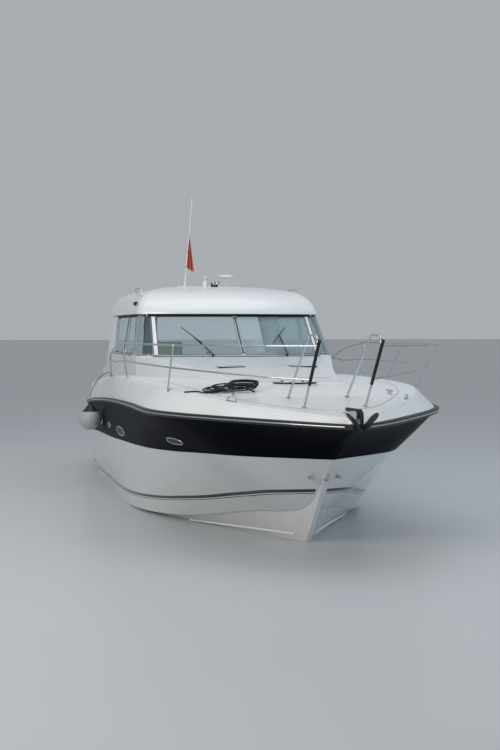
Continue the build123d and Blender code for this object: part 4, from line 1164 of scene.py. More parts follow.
@dataclass
class HullTrim:
    """Bright insert of the rub rail, portlights, spray strakes and the bow eye's plates.

    Attributes:
        portlights: Middle's x and z, half length and half height of each portlight.
        strake: First and last x of a spray strake.
    """

    yard: Yard
    portlights: tuple[tuple[float, float, float, float], ...] = (
        (3.24, 1.335, 0.185, 0.043), (0.18, 1.215, 0.36, 0.066), (-1.20, 1.205, 0.15, 0.045),
        (-2.60, 1.180, 0.30, 0.055),
    )
    strake: Pair = (1.9, 3.78)

    def rail_line(self, side: Side) -> list[Spot]:
        """Middle of the rub rail's outer face along one side.

        Args:
            side: Side of the boat.

        Returns:
            Points and normals from the stern to the bow.
        """
        line = []
        for x in even(-5.285, 5.94, 80):
            middle = along_table(SHEER, x)
            spots = []
            for z in even(middle - 0.045, middle + 0.035, 33):
                try:
                    spots.append(self.yard.surface.beside("rub_rail", x, z, side))
                except ValueError:
                    continue
            widest = max(abs(place.y) for place, _ in spots)
            flat = [s for s in spots if abs(s[0].y) > widest - 0.0008]
            place = Vector((x, side.value * widest, sum(p.z for p, _ in flat) / len(flat)))
            line.append((place, flat[len(flat) // 2][1]))
        return line

    def oval(self, side: Side, x: float, z: float, long: float, tall: float) -> list[Spot]:
        """Points and normals of the hull round a long oval.

        Args:
            side: Side of the boat.
            x: Place of its middle along the boat.
            z: Height of its middle.
            long: Half its length.
            tall: Half its height.

        Returns:
            Points and normals.
        """
        spots = []
        for cos, sin in around(1.0, 40):
            spots.append(self.yard.surface.beside("hull", x + long * math.copysign(abs(cos) ** 0.75, cos),
                                                  z + tall * sin, side))
        return spots

    def portlight(self, number: int, side: Side, x: float, z: float, long: float, tall: float) -> None:
        """One oval portlight: smoked pane in a bright rim.

        Args:
            number: Number from the bow.
            side: Side of the boat.
            x: Place of its middle along the boat.
            z: Height of its middle.
            long: Half its length.
            tall: Half its height.
        """
        name = f"portlight_{side.name.lower()}_{number}"
        rings = []
        for share, rise in ((1.0, -0.004), (0.97, 0.003), (0.6, 0.004), (0.2, 0.004)):
            rings.append([p + n * rise for p, n in self.oval(side, x, z, long * share, tall * share)])
        self.yard.piece(name + "_pane", PORT_PANE, (skin, rings, False, False))
        self.yard.strip(name + "_rim", STAINLESS, [self.oval(side, x, z, long, tall)],
                        half_round(0.017, -0.003, 0.008), True)

    def build(self) -> None:
        """Makes all of it."""
        yard, look = self.yard, self.yard.surface
        yard.strip("rub_rail_insert", STAINLESS, [self.rail_line(side) for side in Side],
                   half_round(0.018, -0.002, 0.007))
        strakes = [[look.beside("hull", x, 0.03 + 0.034 * (x - 2.2), side) for x in even(*self.strake, 24)]
                   for side in Side]
        yard.strip("spray_strakes", DECK_GELCOAT, strakes, half_round(0.034, -0.004, 0.016))
        for side in Side:
            for number, sizes in enumerate(self.portlights, 1):
                self.portlight(number, side, *sizes)
        stem = look.ahead("hull", 0.0, 0.97)[0]
        tips = [look.ahead("bow_eye", y, 0.965)[0] for y in (-0.19, 0.19)]
        cap = ((0.0, 0.004), (0.008, 0.004), (0.012, 0.0), (0.020, -0.002))
        plate = ((0.034, -0.02), (0.036, 0.002), (0.030, 0.006), (0.0, 0.006))
        yard.piece("bow_eye_plates", STAINLESS, *((lathe, cap, tip, AHEAD, 20) for tip in tips),
                   (lathe, plate, (stem.x - 0.006, 0.0, 0.955), Vector((0.93, 0, -0.37)), 28))


# Windows


def rounded(corners: Sequence[Pair], radius: float, gap: float = 0.09) -> list[Pair]:
    """Outline with rounded corners and closely spaced points.

    Args:
        corners: Corner points in order.
        radius: Length taken off each edge at a corner.
        gap: Greatest distance between two points on a straight run.

    Returns:
        The points round the outline.
    """
    found: list[Pair] = []
    spots = [Vector(c) for c in corners]
    for before, corner, then in zip([spots[-1], *spots], spots, [*spots[1:], spots[0]]):
        on = (then - corner).normalized() * radius
        start, end, stop = corner + (before - corner).normalized() * radius, corner + on, then - on
        found += [tuple(start * (1 - t) ** 2 + corner * 2 * t * (1 - t) + end * t * t) for t in even(0, 1, 6)]
        parts = max(2, int((stop - end).length / gap))
        found += [tuple(end + (stop - end) * k / parts) for k in range(1, parts)]
    return found


def middle_of(points: Sequence[Pair]) -> Vector:
    """Mean of some points."""
    return sum((Vector(p) for p in points), Vector((0.0, 0.0))) / len(points)


def grown(corners: Sequence[Pair], by: float) -> list[Pair]:
    """Outline whose corners are moved away from its middle in both directions."""
    middle = middle_of(corners)
    return [(u + math.copysign(by, u - middle.x), v + math.copysign(by, v - middle.y)) for u, v in corners]


def onto_rim(find: Callable[[float, float], Spot], outline: Sequence[Pair],
             near: Callable[[Vector], bool]) -> list[Spot]:
    """Outline laid on the wall round an opening, each point moved outward until the wall is there.

    Args:
        find: Ray cast for two coordinates.
        outline: Points round the opening.
        near: Whether a found point lies on the near wall.

    Returns:
        Points and normals.
    """
    middle = middle_of(outline)
    found = []
    for u, v in outline:
        outward = (Vector((u, v)) - middle).normalized() * RIM_STEP
        for step in range(RIM_STEPS):
            try:
                spot = find(u + outward.x * step, v + outward.y * step)
            except ValueError:
                continue
            if near(spot[0]):
                found.append(spot)
                break
    return found


@dataclass
class Windows:
    """Seals round the panes, tinted borders of the glass and the joint at its middle.

    Attributes:
        sill: Height of the panes' foot.
        head: Height of the panes' head.
        front: For each front pane, y of its four corners, from the inner one at the sill.
        sides: For each side pane, x of its four corners, from the forward one at the sill.
        edges: Heights of the window frame's lower and upper edge.
        foot_border: Height of the border under the panes, painted in the glass's reflected blue-grey.
        head_border: Height of the dark border over the panes.
    """

    yard: Yard
    sill: float = 2.445
    head: float = 3.070
    front: tuple[tuple[float, float, float, float], ...] = (
        (0.035, 1.350, 1.315, 0.035), (1.430, 1.590, 1.485, 1.390),
    )
    sides: tuple[tuple[float, float, float, float], ...] = (
        (-0.640, -1.860, -1.860, -1.060), (-1.920, -3.150, -3.420, -1.920),
    )
    edges: Pair = (2.4085, 3.111)
    foot_border: float = 2.427
    head_border: float = 3.091

    def ahead(self, y: float, z: float) -> Spot:
        """Point of the window frame seen from ahead."""
        return self.yard.surface.ahead("window_frame", y, z)

    def beside(self, x: float, z: float, side: Side) -> Spot:
        """Point of the window frame seen from one side."""
        return self.yard.surface.beside("window_frame", x, z, side)

    def corner(self, side: Side, degrees: float, z: float) -> Spot:
        """Point of the window frame's round front corner.

        Args:
            side: Side of the boat.
            degrees: Angle from dead ahead.
            z: Height.

        Returns:
            The point and its normal.
        """
        turn = math.radians(degrees)
        out = Vector((math.cos(turn), side.value * math.sin(turn), 0.0))
        start = Vector((-1.25, side.value * 1.05, z)) + out * 3.0
        return self.yard.surface.hit("window_frame", start, -out)

    def run(self, z: float, reach: float, aft: float) -> list[list[Spot]]:
        """Lines along the front and both sides at one height."""
        lines = [[self.ahead(y, z) for y in even(-reach, reach, 60)]]
        return lines + [[self.beside(x, z, side) for x in even(-0.9, aft, 40)] for side in Side]

    def build(self) -> None:
        """Makes all of it."""
        yard = self.yard
        heights = (self.sill, self.sill, self.head, self.head)
        front, sides = [], []
        for side in Side:
            for row in self.front:
                outline = rounded(grown([(side.value * y, z) for y, z in zip(row, heights)], 0.004), 0.024)
                front.append(onto_rim(self.ahead, outline, lambda p: p.x > -0.95))
            for row in self.sides:
                outline = rounded(grown(list(zip(row, heights)), 0.005), 0.075)
                sides.append(onto_rim(lambda x, z, s=side: self.beside(x, z, s), outline,
                                      lambda p, s=side: p.y * s.value > 1.0))
        yard.strip("windscreen_seals", RUBBER, front, slab(0.010, -0.003, 0.003), True)
        yard.strip("side_window_seals", RUBBER, sides, slab(0.014, -0.003, 0.004), True)
        middle = [self.ahead(0.0, z) for z in even(2.449, 3.066, 16)]
        # The cover over the middle post is a painted reflection: opaque, in the blue-grey that the glass shows
        yard.strip("mullion_cover", PAINTED_GLASS_REFLECTION, [middle], slab(0.074, -0.002, 0.003))
        yard.strip("mullion_joint", RUBBER, [middle], slab(0.020, 0.001, 0.006))
        edges = [line for z in self.edges for line in self.run(z, 1.44, -3.9)]
        yard.strip("frame_edge_seals", RUBBER, edges, slab(0.011, -0.002, 0.004))
        self.borders()

    def borders(self) -> None:
        """Dark border along the head of the glass, and ones along its foot and round the corners painted in the
        glass's reflected blue-grey.
        """
        for name, finish, z, width, reach, turns in (
            # name, finish, height, width, y of its front run's ends, degrees round the corner
            ("glass_head_border", RUBBER, self.head_border, 0.040, 1.44, (38.0, 72.0)),
            # The foot border is a painted reflection in the glass's blue-grey
            ("glass_foot_border", PAINTED_GLASS_REFLECTION, self.foot_border, 0.034, 1.50, (24.0, 48.0)),
        ):
            lines = self.run(z, reach, -3.45)
            lines += [[self.corner(side, degrees, z) for degrees in even(*turns, 16)] for side in Side]
            self.yard.strip(name, finish, lines, slab(width, -0.002, 0.0025))
        heights = even(self.sill - 0.02, self.head + 0.02, 10)
        bars = []
        for side in Side:
            for foot, head in zip(even(29.5, 44.5, 12), even(40.6, 66.0, 12)):
                bars.append([self.corner(side, degrees, z)
                             for degrees, z in zip(even(foot, head, 10), heights)])
        # Bars over the white corner posts, in a painted reflection of the glass's blue-grey
        self.yard.strip("glass_corner_border", PAINTED_GLASS_REFLECTION, bars, slab(0.044, -0.002, 0.0020))


@dataclass
class Curtain:
    """Pale curtain gathered at the starboard end of the screen, and its track."""

    yard: Yard
    top: float = 3.06
    bottom: float = 2.44
    start: Pair = (-0.800, -1.260)
    end: Pair = (-0.900, -1.500)
    folds: int = 7

    def along(self, t: float, z: float) -> Vector:
        """Place on the track's line at a height."""
        return Vector((*Vector(self.start).lerp(Vector(self.end), t), z))

    def spot(self, t: float, z: float) -> Vector:
        """Place on the cloth.

        Args:
            t: Share of the gathered width.
            z: Height.

        Returns:
            The place.
        """
        across = (Vector(self.end) - Vector(self.start)).orthogonal().normalized()
        sway = 0.026 * math.sin(2 * math.pi * self.folds * t) * (0.85 + 0.15 * math.sin(7 * z + 5 * t))
        return self.along(t, z) + Vector((*across * sway, 0.0))

    def build(self) -> None:
        """Makes the cloth and its track."""
        rows = [[self.spot(t, z) for t in even(0, 1, 113)] for z in even(self.bottom, self.top, 22)]
        cloth = self.yard.piece("curtain", CURTAIN_CLOTH, (grid, rows))
        width = sum((a - b).length for a, b in zip(rows[-1], rows[-1][1:]))
        cloth.modifiers.new("thickness", "SOLIDIFY").thickness = 0.0012
        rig.sheet(cloth, flat=(round(width, 2), round(self.top - self.bottom, 2)), held="gathered",
                 rests_on=("curtain_track",))
        level = self.top + 0.008
        shapes = [(tube, [self.along(t, level) for t in (-0.12, 0.5, 1.0)], 0.007, 10)]
        shapes += [(tube, [self.along(t, level), self.along(t, 3.125)], 0.005, 8) for t in (-0.05, 0.95)]
        self.yard.piece("curtain_track", SATIN_STEEL, *shapes)


# Foredeck


@dataclass
class DeckGear:
    """Small fittings that stand or lie on the deck.

    Attributes:
        feet: Places of the stanchions' and the pulpit's feet, starboard mirrored.
        port_foot: Place of the foot that only the port rail has.
        cleat_places: Places of the cleats, starboard mirrored.
        fairlead_places: Places of the fairleads, starboard mirrored.
        seam_line: Seam along one side deck.
        bow_seam: Seam round the bow.
        coach_seam: Seam across the coachroof.
    """

    yard: Yard
    feet: tuple[Pair, ...] = ((5.082, 0.400), (4.368, 0.400), (3.290, 1.772), (0.500, 1.957), (-1.478, 1.950))
    port_foot: Pair = (1.724, 1.942)
    cleat_places: tuple[Pair, ...] = ((4.150, 1.080), (-2.200, 1.880), (-4.900, 1.770))
    fairlead_places: tuple[Pair, ...] = ((4.48, 1.18), (-4.55, 1.775))
    seam_line: tuple[Pair, ...] = ((4.42, 1.02), (3.9, 1.30), (3.0, 1.52), (1.9, 1.62))
    bow_seam: tuple[Pair, ...] = (
        (4.42, 1.02), (4.82, 0.74), (5.16, 0.42), (5.30, 0.0), (5.16, -0.42), (4.82, -0.74), (4.42, -1.02),
    )
    coach_seam: tuple[Pair, ...] = ((2.86, 0.66), (2.92, 0.0), (2.86, -0.66))

    def build(self) -> None:
        """Makes all of them."""
        self.hatch()
        self.deck_lights()
        self.seams()
        self.flanges()
        self.cleats()
        self.fairleads()

    def on_deck(self, points: Iterable[Pair], steps: int) -> list[Spot]:
        """Points and normals of the deck under a smooth line."""
        return [self.yard.surface.down("deck", p.x, p.y) for p in smooth(points, steps)]

    def hatch(self) -> None:
        """Frame, handles and hinge leaves of the foredeck hatch."""
        yard, lid = self.yard, "foredeck_hatch"
        top = yard.surface.down(lid, 3.30, 0.0)[0].z
        ring = [(Vector((3.300 + 0.2292 * cos, 0.29605 * sin, top)), UP) for cos, sin in around(1.0, 56)]
        yard.strip("hatch_frame", WHITE_PLASTIC, [ring], half_round(0.020, -0.003, 0.005), True, lid)
        knob = ((0.0, 0.010), (0.014, 0.009), (0.020, 0.004), (0.021, -0.002))
        shapes = []
        for y in (-0.15, 0.15):
            shapes += [(lathe, knob, (3.17, y, top), UP, 24),
                       (box, (3.15, y - 0.006, top + 0.006), (3.22, y + 0.006, top + 0.013), 0.003)]
        yard.piece("hatch_handles", BLACK_PLASTIC, *shapes, body=lid)
        leaves = [(box, (3.485, y - 0.022, top - 0.002), (3.538, y + 0.022, top + 0.005), 0.002)
                  for y in (-0.12, 0.12)]
        yard.piece("hatch_hinge_leaves", STAINLESS, *leaves, body=lid)

    def light_spot(self, x: float, y: float) -> Spot:
        """Top of a deck light, or of the deck where the coachroof covers the light.

        Args:
            x: Place along the boat.
            y: Place across the boat.

        Returns:
            The point and its normal.
        """
        try:
            return self.yard.surface.down("deck_lights", x, y)
        except ValueError:
            return self.yard.surface.down("deck", x, y)

    def deck_lights(self) -> None:
        """Smoked panes and bright rims of the two flush deck lights."""
        runs, panes = [], []
        for side in Side:
            low, high = side.value * 0.56 - 0.205, side.value * 0.56 + 0.205
            outline = rounded([(1.64, low), (1.86, low), (1.86, high), (1.64, high)], 0.03, 0.04)
            runs.append([self.light_spot(x, y) for x, y in outline])
            rows = [[self.light_spot(x, side.value * y)[0] + UP * 0.002 for y in even(0.357, 0.763, 15)]
                    for x in even(1.641, 1.859, 9)]
            panes.append((grid, rows))
        self.yard.strip("deck_light_rims", STAINLESS, runs, half_round(0.012, -0.002, 0.004), True)
        self.yard.piece("deck_light_panes", SMOKED, *panes)

    def seams(self) -> None:
        """Fine dark seams of the foredeck's panels."""
        runs = [self.on_deck(self.bow_seam, 8)]
        for side in Side:
            runs.append(self.on_deck([(x, side.value * y) for x, y in self.seam_line], 10))
        self.yard.strip("deck_seams", SEAM, runs, slab(0.007, -0.002, 0.0016))
        run = self.on_deck(self.coach_seam, 12)
        self.yard.strip("coachroof_seam", SEAM, [run], slab(0.006, -0.002, 0.0016))

    def flanges(self) -> None:
        """Flanges under the stanchions and the pulpit's legs, each with three screws."""
        foot = ((0.038, -0.004), (0.038, 0.003), (0.034, 0.006), (0.020, 0.008), (0.018, 0.022), (0.0, 0.022))
        screw = ((0.0045, -0.002), (0.004, 0.002), (0.0, 0.0025))
        shapes = []
        for x, y in [(x, side.value * y) for side in Side for x, y in self.feet] + [self.port_foot]:
            place, normal = self.yard.surface.down("deck", x, y)
            shapes.append((lathe, foot, place, normal, 28))
            for turn in (0.0, 2.1, 4.2):
                offset = Vector((0.029 * math.cos(turn), 0.029 * math.sin(turn), 0.006))
                shapes.append((lathe, screw, towards(place, normal) @ offset, normal, 10))
        self.yard.piece("stanchion_flanges", STAINLESS, *shapes)

    def cleats(self) -> None:
        """Base plates and rounded ends of the cleats."""
        look, shapes = self.yard.surface, []
        tip = ((0.012, -0.002), (0.0118, 0.003), (0.009, 0.008), (0.004, 0.0115), (0.0, 0.012))
        plate = ((0.026, -0.006), (0.026, 0.003), (0.021, 0.007), (0.013, 0.010), (0.0118, 0.014))
        for x, y in [(x, side.value * y) for x, y in self.cleat_places for side in Side]:
            level = look.down("cleats", x, y)[0].z - 0.012
            shapes += [(lathe, tip, (x + 0.115, y, level), AHEAD, 18),
                       (lathe, tip, (x - 0.115, y, level), ASTERN, 18)]
            for foot in (-0.038, 0.038):
                shapes.append((lathe, plate, *look.down("deck", x + foot, y + 0.0001), 26))
        self.yard.piece("cleat_bases", STAINLESS, *shapes)

    def fairleads(self) -> None:
        """Open fairleads at the deck's edge beside the cleats."""
        horn = ((0.072, 0, 0.0), (0.070, 0, 0.026), (0.055, 0, 0.047), (0.028, 0, 0.050))
        shapes = []
        for side in Side:
            for x, y in self.fairlead_places:
                place, normal = self.yard.surface.down("deck", x, side.value * y)
                edge = Vector((1, side.value * (-0.72 if x > 0 else 0.1), 0)).normalized()
                frame = towards(place, normal)
                low = frame.inverted() @ (place + edge * 0.09)
                frame = frame @ Matrix.Rotation(math.atan2(low.y, low.x), 4, "Z")
                shapes.append((box, (-0.085, -0.022, -0.004), (0.085, 0.022, 0.007), 0.003, frame))
                for end in (-1, 1):
                    path = smooth([frame @ Vector((end * u, v, w)) for u, v, w in horn], 6)
                    shapes.append((tube, path, 0.009))
        self.yard.piece("fairleads", STAINLESS, *shapes)


@dataclass
class RailGear:
    """Black sleeves on the pulpit's forward legs."""

    yard: Yard
    top: Point = (5.750, 0.400, 2.790)
    foot: Point = (5.080, 0.400, 1.880)

    def build(self) -> None:
        """Makes the sleeves."""
        sleeves = []
        for side in Side:
            top, foot = (Vector((x, side.value * y, z)) for x, y, z in (self.top, self.foot))
            sleeves.append((tube, [top.lerp(foot, t) for t in even(0.06, 0.66, 14)], 0.0205, 18))
        self.yard.piece("pulpit_sleeves", RUBBER, *sleeves)


# Roof


@dataclass
class RoofGear:
    """Housing and lens of the anchor light, bases, horn bells, side light lenses and the sunroof's pane.

    Attributes:
        anchor_light: x and y of the anchor light.
        disc: x and y of the disc antenna.
        whip: x and y of the whip antenna.
    """

    yard: Yard
    anchor_light: Pair = (-2.0, -0.170)
    disc: Pair = (-2.0, 0.210)
    whip: Pair = (-2.0, -0.560)

    def build(self) -> None:
        """Makes all of it."""
        self.light()
        self.bases()
        self.side_lights()
        self.sunroof()

    def foot(self, place: Pair, profile: Profile, count: int) -> tuple:
        """Turned shape whose heights start at the roof."""
        return lathe, profile, self.yard.surface.down("hardtop", *place)[0], UP, count

    def light(self) -> None:
        """White housing and clear ribbed lens of the anchor light."""
        at = (*self.anchor_light, 0.0)
        roof = self.yard.surface.down("hardtop", *self.anchor_light)[0].z
        stem = ((0.058, roof - 0.004), (0.058, roof + 0.008), (0.048, roof + 0.013), (0.046, 3.728),
                (0.041, 3.736))
        cap = ((0.0425, 3.794), (0.046, 3.798), (0.046, 3.808), (0.038, 3.815), (0.0, 3.817))
        self.yard.piece("anchor_light_housing", WHITE_PLASTIC,
                        *((lathe, profile, at, UP, 40) for profile in (stem, cap)))
        ribs = [(0.0395 + 0.003 * (k % 2), 3.738 + 0.0035 * k) for k in range(16)]
        self.yard.piece("anchor_light_lens", CLEAR_LENS,
                        (lathe, [(0.036, 3.735), *ribs, (0.036, 3.797)], at, UP, 40))

    def bases(self) -> None:
        """Bases of whip and disc, the disc's edge, and the horn's bells."""
        edge = ((0.1505, 3.823), (0.1525, 3.827), (0.1525, 3.833), (0.1505, 3.837))
        self.yard.piece("roof_gear_bases", WHITE_PLASTIC,
                        self.foot(self.whip, ((0.040, -0.004), (0.040, 0.014), (0.0275, 0.034)), 28),
                        self.foot(self.disc, ((0.034, -0.004), (0.034, 0.008), (0.016, 0.016)), 28),
                        (lathe, edge, (*self.disc, 0.0), UP, 56))
        bell = ((0.030, -0.010), (0.0375, -0.001), (0.0395, 0.002), (0.0385, 0.005), (0.033, 0.002),
                (0.010, 0.0005), (0.0, 0.0005))
        mouths = ((-1.860, -0.028, 3.700), (-1.885, 0.048, 3.700))
        self.yard.piece("horn_bells", STAINLESS, *((lathe, bell, mouth, AHEAD) for mouth in mouths))

    def side_lights(self) -> None:
        """Red and green lens of the side lights."""
        for side, finish in ((Side.PORT, RED_LENS), (Side.STARBOARD, GREEN_LENS)):
            low, high = sorted((side.value * 1.588, side.value * 1.606))
            self.yard.piece(f"side_light_lens_{side.name.lower()}", finish,
                            (box, (-1.280, low, 3.286), (-1.183, high, 3.324), 0.004))

    def sunroof(self) -> None:
        """White frame and smoked pane of the sliding sunroof panel."""
        corners = [(-3.375, -0.585), (-2.425, -0.585), (-2.425, 0.585), (-3.375, 0.585)]
        run = [self.yard.surface.down("sunroof", x, y) for x, y in rounded(corners, 0.05, 0.12)]
        self.yard.strip("sunroof_frame", WHITE_PLASTIC, [run], half_round(0.016, -0.003, 0.003), True,
                        "sunroof")
        top = run[0][0].z
        pane = (box, (-3.325, -0.535, top - 0.002), (-2.475, 0.535, top + 0.002), 0.001)
        self.yard.piece("sunroof_pane", SMOKED, pane, body="sunroof")


@dataclass
class Flag:
    """Orange-red flag that hangs in folds from the whip antenna, and its ties.

    Attributes:
        top: Height of its upper corner at the antenna.
        foot: Height of its lower corner at the antenna.
        whip_foot: Lower end of the antenna's axis.
        whip_head: Upper end of the antenna's axis.
    """

    yard: Yard
    top: float = 4.560
    foot: float = 3.985
    whip_foot: Point = (-2.0, -0.560, 3.560)
    whip_head: Point = (-2.0, -0.410, 5.260)

    def pole(self, s: float) -> Vector:
        """Antenna's axis at a share of the flag's height from its top.

        Args:
            s: Share of the height.

        Returns:
            The place.
        """
        z = self.top + (self.foot - self.top) * s
        low, high = Vector(self.whip_foot), Vector(self.whip_head)
        return low.lerp(high, (z - low.z) / (high.z - low.z))

    def spot(self, s: float, t: float) -> Vector:
        """Place on the cloth at a share of its height and of its width.

        Args:
            s: Share of the height, from the top.
            t: Share of the width, from the antenna.

        Returns:
            The place.
        """
        width = 0.018 + 0.135 * s**0.85
        deep = 0.006 + 0.030 * min(1.0, 1.6 * s)
        fold = deep * math.sin(2 * math.pi * (2.6 * t + 0.12 * math.sin(5 * s))) * min(1.0, 5 * t + 0.15)
        drift = 0.007 * math.sin(9 * s + 4 * t) * t
        droop = 0.085 * t * (0.35 + 0.65 * s)
        return self.pole(s) + Vector((fold + drift - 0.048 - 0.012 * t, 0.004 + width * t, -droop))

    def build(self) -> None:
        """Makes the cloth and its ties."""
        rows = [[self.spot(s, t) for t in even(0, 1, 61)] for s in even(0, 1, 40)]
        cloth = self.yard.piece("flag_cloth", FLAG_CLOTH, (grid, rows), replaces=["flag"], sharp=60.0)
        area = sum(face.area for face in cloth.data.polygons)
        cloth.modifiers.new("thickness", "SOLIDIFY").thickness = 0.0010
        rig.sheet(cloth, flat=(0.40, 0.62), held="hung", rests_on=("whip_antenna", "flag_ties"),
                 area=round(area, 3))
        ties = []
        for s in (0.02, 0.5, 0.97):
            pole = self.pole(s)
            ties.append((tube, [pole + Vector((x, y, 0)) for x, y in around(0.0115, 20)], 0.0022, 8, True))
            ends = [pole + Vector((-0.010, 0.002, 0)), self.spot(s, 0.0) + AHEAD * 0.002]
            ties.append((tube, ends, 0.0018, 8))
        self.yard.piece("flag_ties", BLACK_ROPE, *ties)


# Cushions and fender


@dataclass(frozen=True)
class Pad:
    """One cushion: corners, crowned face and sewn channels.

    Attributes:
        low: Lower corner.
        high: Upper corner.
        up: Index of the axis that the crowned face looks along.
        sign: Direction of the crowned face on that axis.
        lines: Number of sewn channels across it.
        across: Index of the axis that the channels are spread along.
        radius: Greatest radius of its edges.
        crown: Height of the crown.
        depth: Depth of a channel.
        width: Half width of a channel.
    """

    low: Point
    high: Point
    up: int = 2
    sign: int = 1
    lines: int = 6
    across: int = 1
    radius: float = 0.034
    crown: float = 0.010
    depth: float = 0.008
    width: float = 0.009

    def shape(self, work: Mesh) -> None:
        """Adds the pad: a soft block, crowned, with sewn channels.

        Args:
            work: Mesh that takes the pad.
        """
        middle = Vector([(a + b) / 2 for a, b in zip(self.low, self.high)])
        half = [(b - a) / 2 for a, b in zip(self.low, self.high)]
        radius = min(self.radius, min(half) * 0.75)
        others = [i for i in range(3) if i != self.up]
        cube = bmesh.new()
        bmesh.ops.create_cube(cube, size=2.0)
        bmesh.ops.subdivide_edges(cube, edges=cube.edges[:], cuts=30, use_grid_fill=True)
        spots = {}
        for vert in cube.verts:
            unit = vert.co
            inner = Vector([max(-(h - radius), min(h - radius, c * h)) for c, h in zip(unit, half)])
            reach = Vector([c * h for c, h in zip(unit, half)]) - inner
            spot = inner + (reach.normalized() * radius if reach.length > 1e-9 else reach)
            face = unit[self.up] * self.sign
            if face > -0.98:
                dome = math.prod(1 - unit[i] ** 4 for i in others)
                lift = self.crown * dome * max(0.0, face)
                share = (unit[self.across] + 1) / 2 * self.lines
                off = abs(share - round(share)) / self.lines * 2 * half[self.across]
                if 0 < round(share) < self.lines and face > 0.9:
                    lift -= self.depth * math.exp(-(off / self.width) ** 2) * min(1.0, 6 * dome)
                spot[self.up] += self.sign * lift
            spots[vert.index] = work.verts.new(middle + spot)
        for face in cube.faces:
            work.faces.new([spots[v.index] for v in face.verts])
        cube.free()

    def welt(self, work: Mesh) -> None:
        """Adds the piping round the crowned face's edge.

        Args:
            work: Mesh that takes the piping.
        """
        u, v = (i for i in range(3) if i != self.up)
        (u0, u1), (v0, v1) = ((self.low[i] + 0.011, self.high[i] - 0.011) for i in (u, v))
        level = (self.high if self.sign > 0 else self.low)[self.up] - self.sign * 0.009
        path = []
        for a, b in rounded([(u0, v0), (u1, v0), (u1, v1), (u0, v1)], 0.035, 0.1):
            spot = {u: a, v: b, self.up: level}
            path.append((spot[0], spot[1], spot[2]))
        tube(work, path, 0.0045, 8, True)


@dataclass
class Upholstery:
    """Cushions of the helm seat, the settee and the cockpit bench."""

    yard: Yard
    pads: tuple[tuple[str, Pad, Pad], ...] = (
        ("helm_cushions", Pad((-1.870, -1.170, 1.9603), (-1.450, -0.620, 2.080), lines=4),
         Pad((-1.9697, -1.170, 1.9603), (-1.875, -0.620, 2.630), up=0, lines=5, across=2)),
        ("settee_cushions", Pad((-3.250, 0.880, 1.7603), (-1.400, 1.425, 1.880), across=0),
         Pad((-3.250, 1.430, 1.7603), (-1.400, 1.555, 2.250), up=1, sign=-1, across=0)),
        ("bench_cushions", Pad((-4.865, -0.720, 1.4803), (-4.460, 1.445, 1.600)),
         Pad((-4.995, -0.720, 1.4803), (-4.870, 1.445, 1.950), up=0)),
    )

    def build(self) -> None:
        """Makes every cushion and its piping."""
        for node, *pads in self.pads:
            for number, pad in enumerate(pads, 1):
                name = f"{node}_pad_{number}"
                made = self.yard.piece(name, PALE_LEATHER, (pad.shape,), sharp=60.0,
                                       replaces=[node] if number == 1 else [])
                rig.padded(made, 0.8)
                self.yard.piece(name + "_piping", PIPING, (pad.welt,))


@dataclass
class BallFender:
    """Ball fender: pale ball with a sewn dent round it and a navy cap with the eye."""

    yard: Yard
    middle: Point = (-2.490, -2.232, 1.210)
    radius: float = 0.200

    def build(self) -> None:
        """Makes ball and cap."""
        ball = [(0.0, -self.radius)]
        for k in range(1, 40):
            angle = -math.pi / 2 + (math.pi / 2 + 0.80) * k / 40
            radius = self.radius - 0.0022 * math.exp(-((angle + 0.02) / 0.03) ** 2)
            ball.append((radius * math.cos(angle), radius * math.sin(angle)))
        ball += [(0.139, 0.141), (0.133, 0.140)]
        made = self.yard.piece("fender_ball", FENDER_VINYL, (lathe, ball, self.middle, UP, 64),
                               replaces=["fender"], sharp=50.0)
        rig.padded(made, 0.95)
        cap = [(0.126, 0.132), (0.1425, 0.140), (0.1400, 0.149)]
        for t in even(0, 1, 17)[1:-1]:
            wave = 0.003 * math.sin(math.pi * 6 * t) ** 2
            cap.append((0.1400 - 0.108 * t**0.82 + wave, 0.149 + 0.122 * t))
        cap += [(0.030, 0.276), (0.0295, 0.306), (0.024, 0.3095), (0.0, 0.3095)]
        self.yard.piece("fender_cap", NAVY_VINYL, (lathe, cap, self.middle, UP, 56))


# Inside and stern


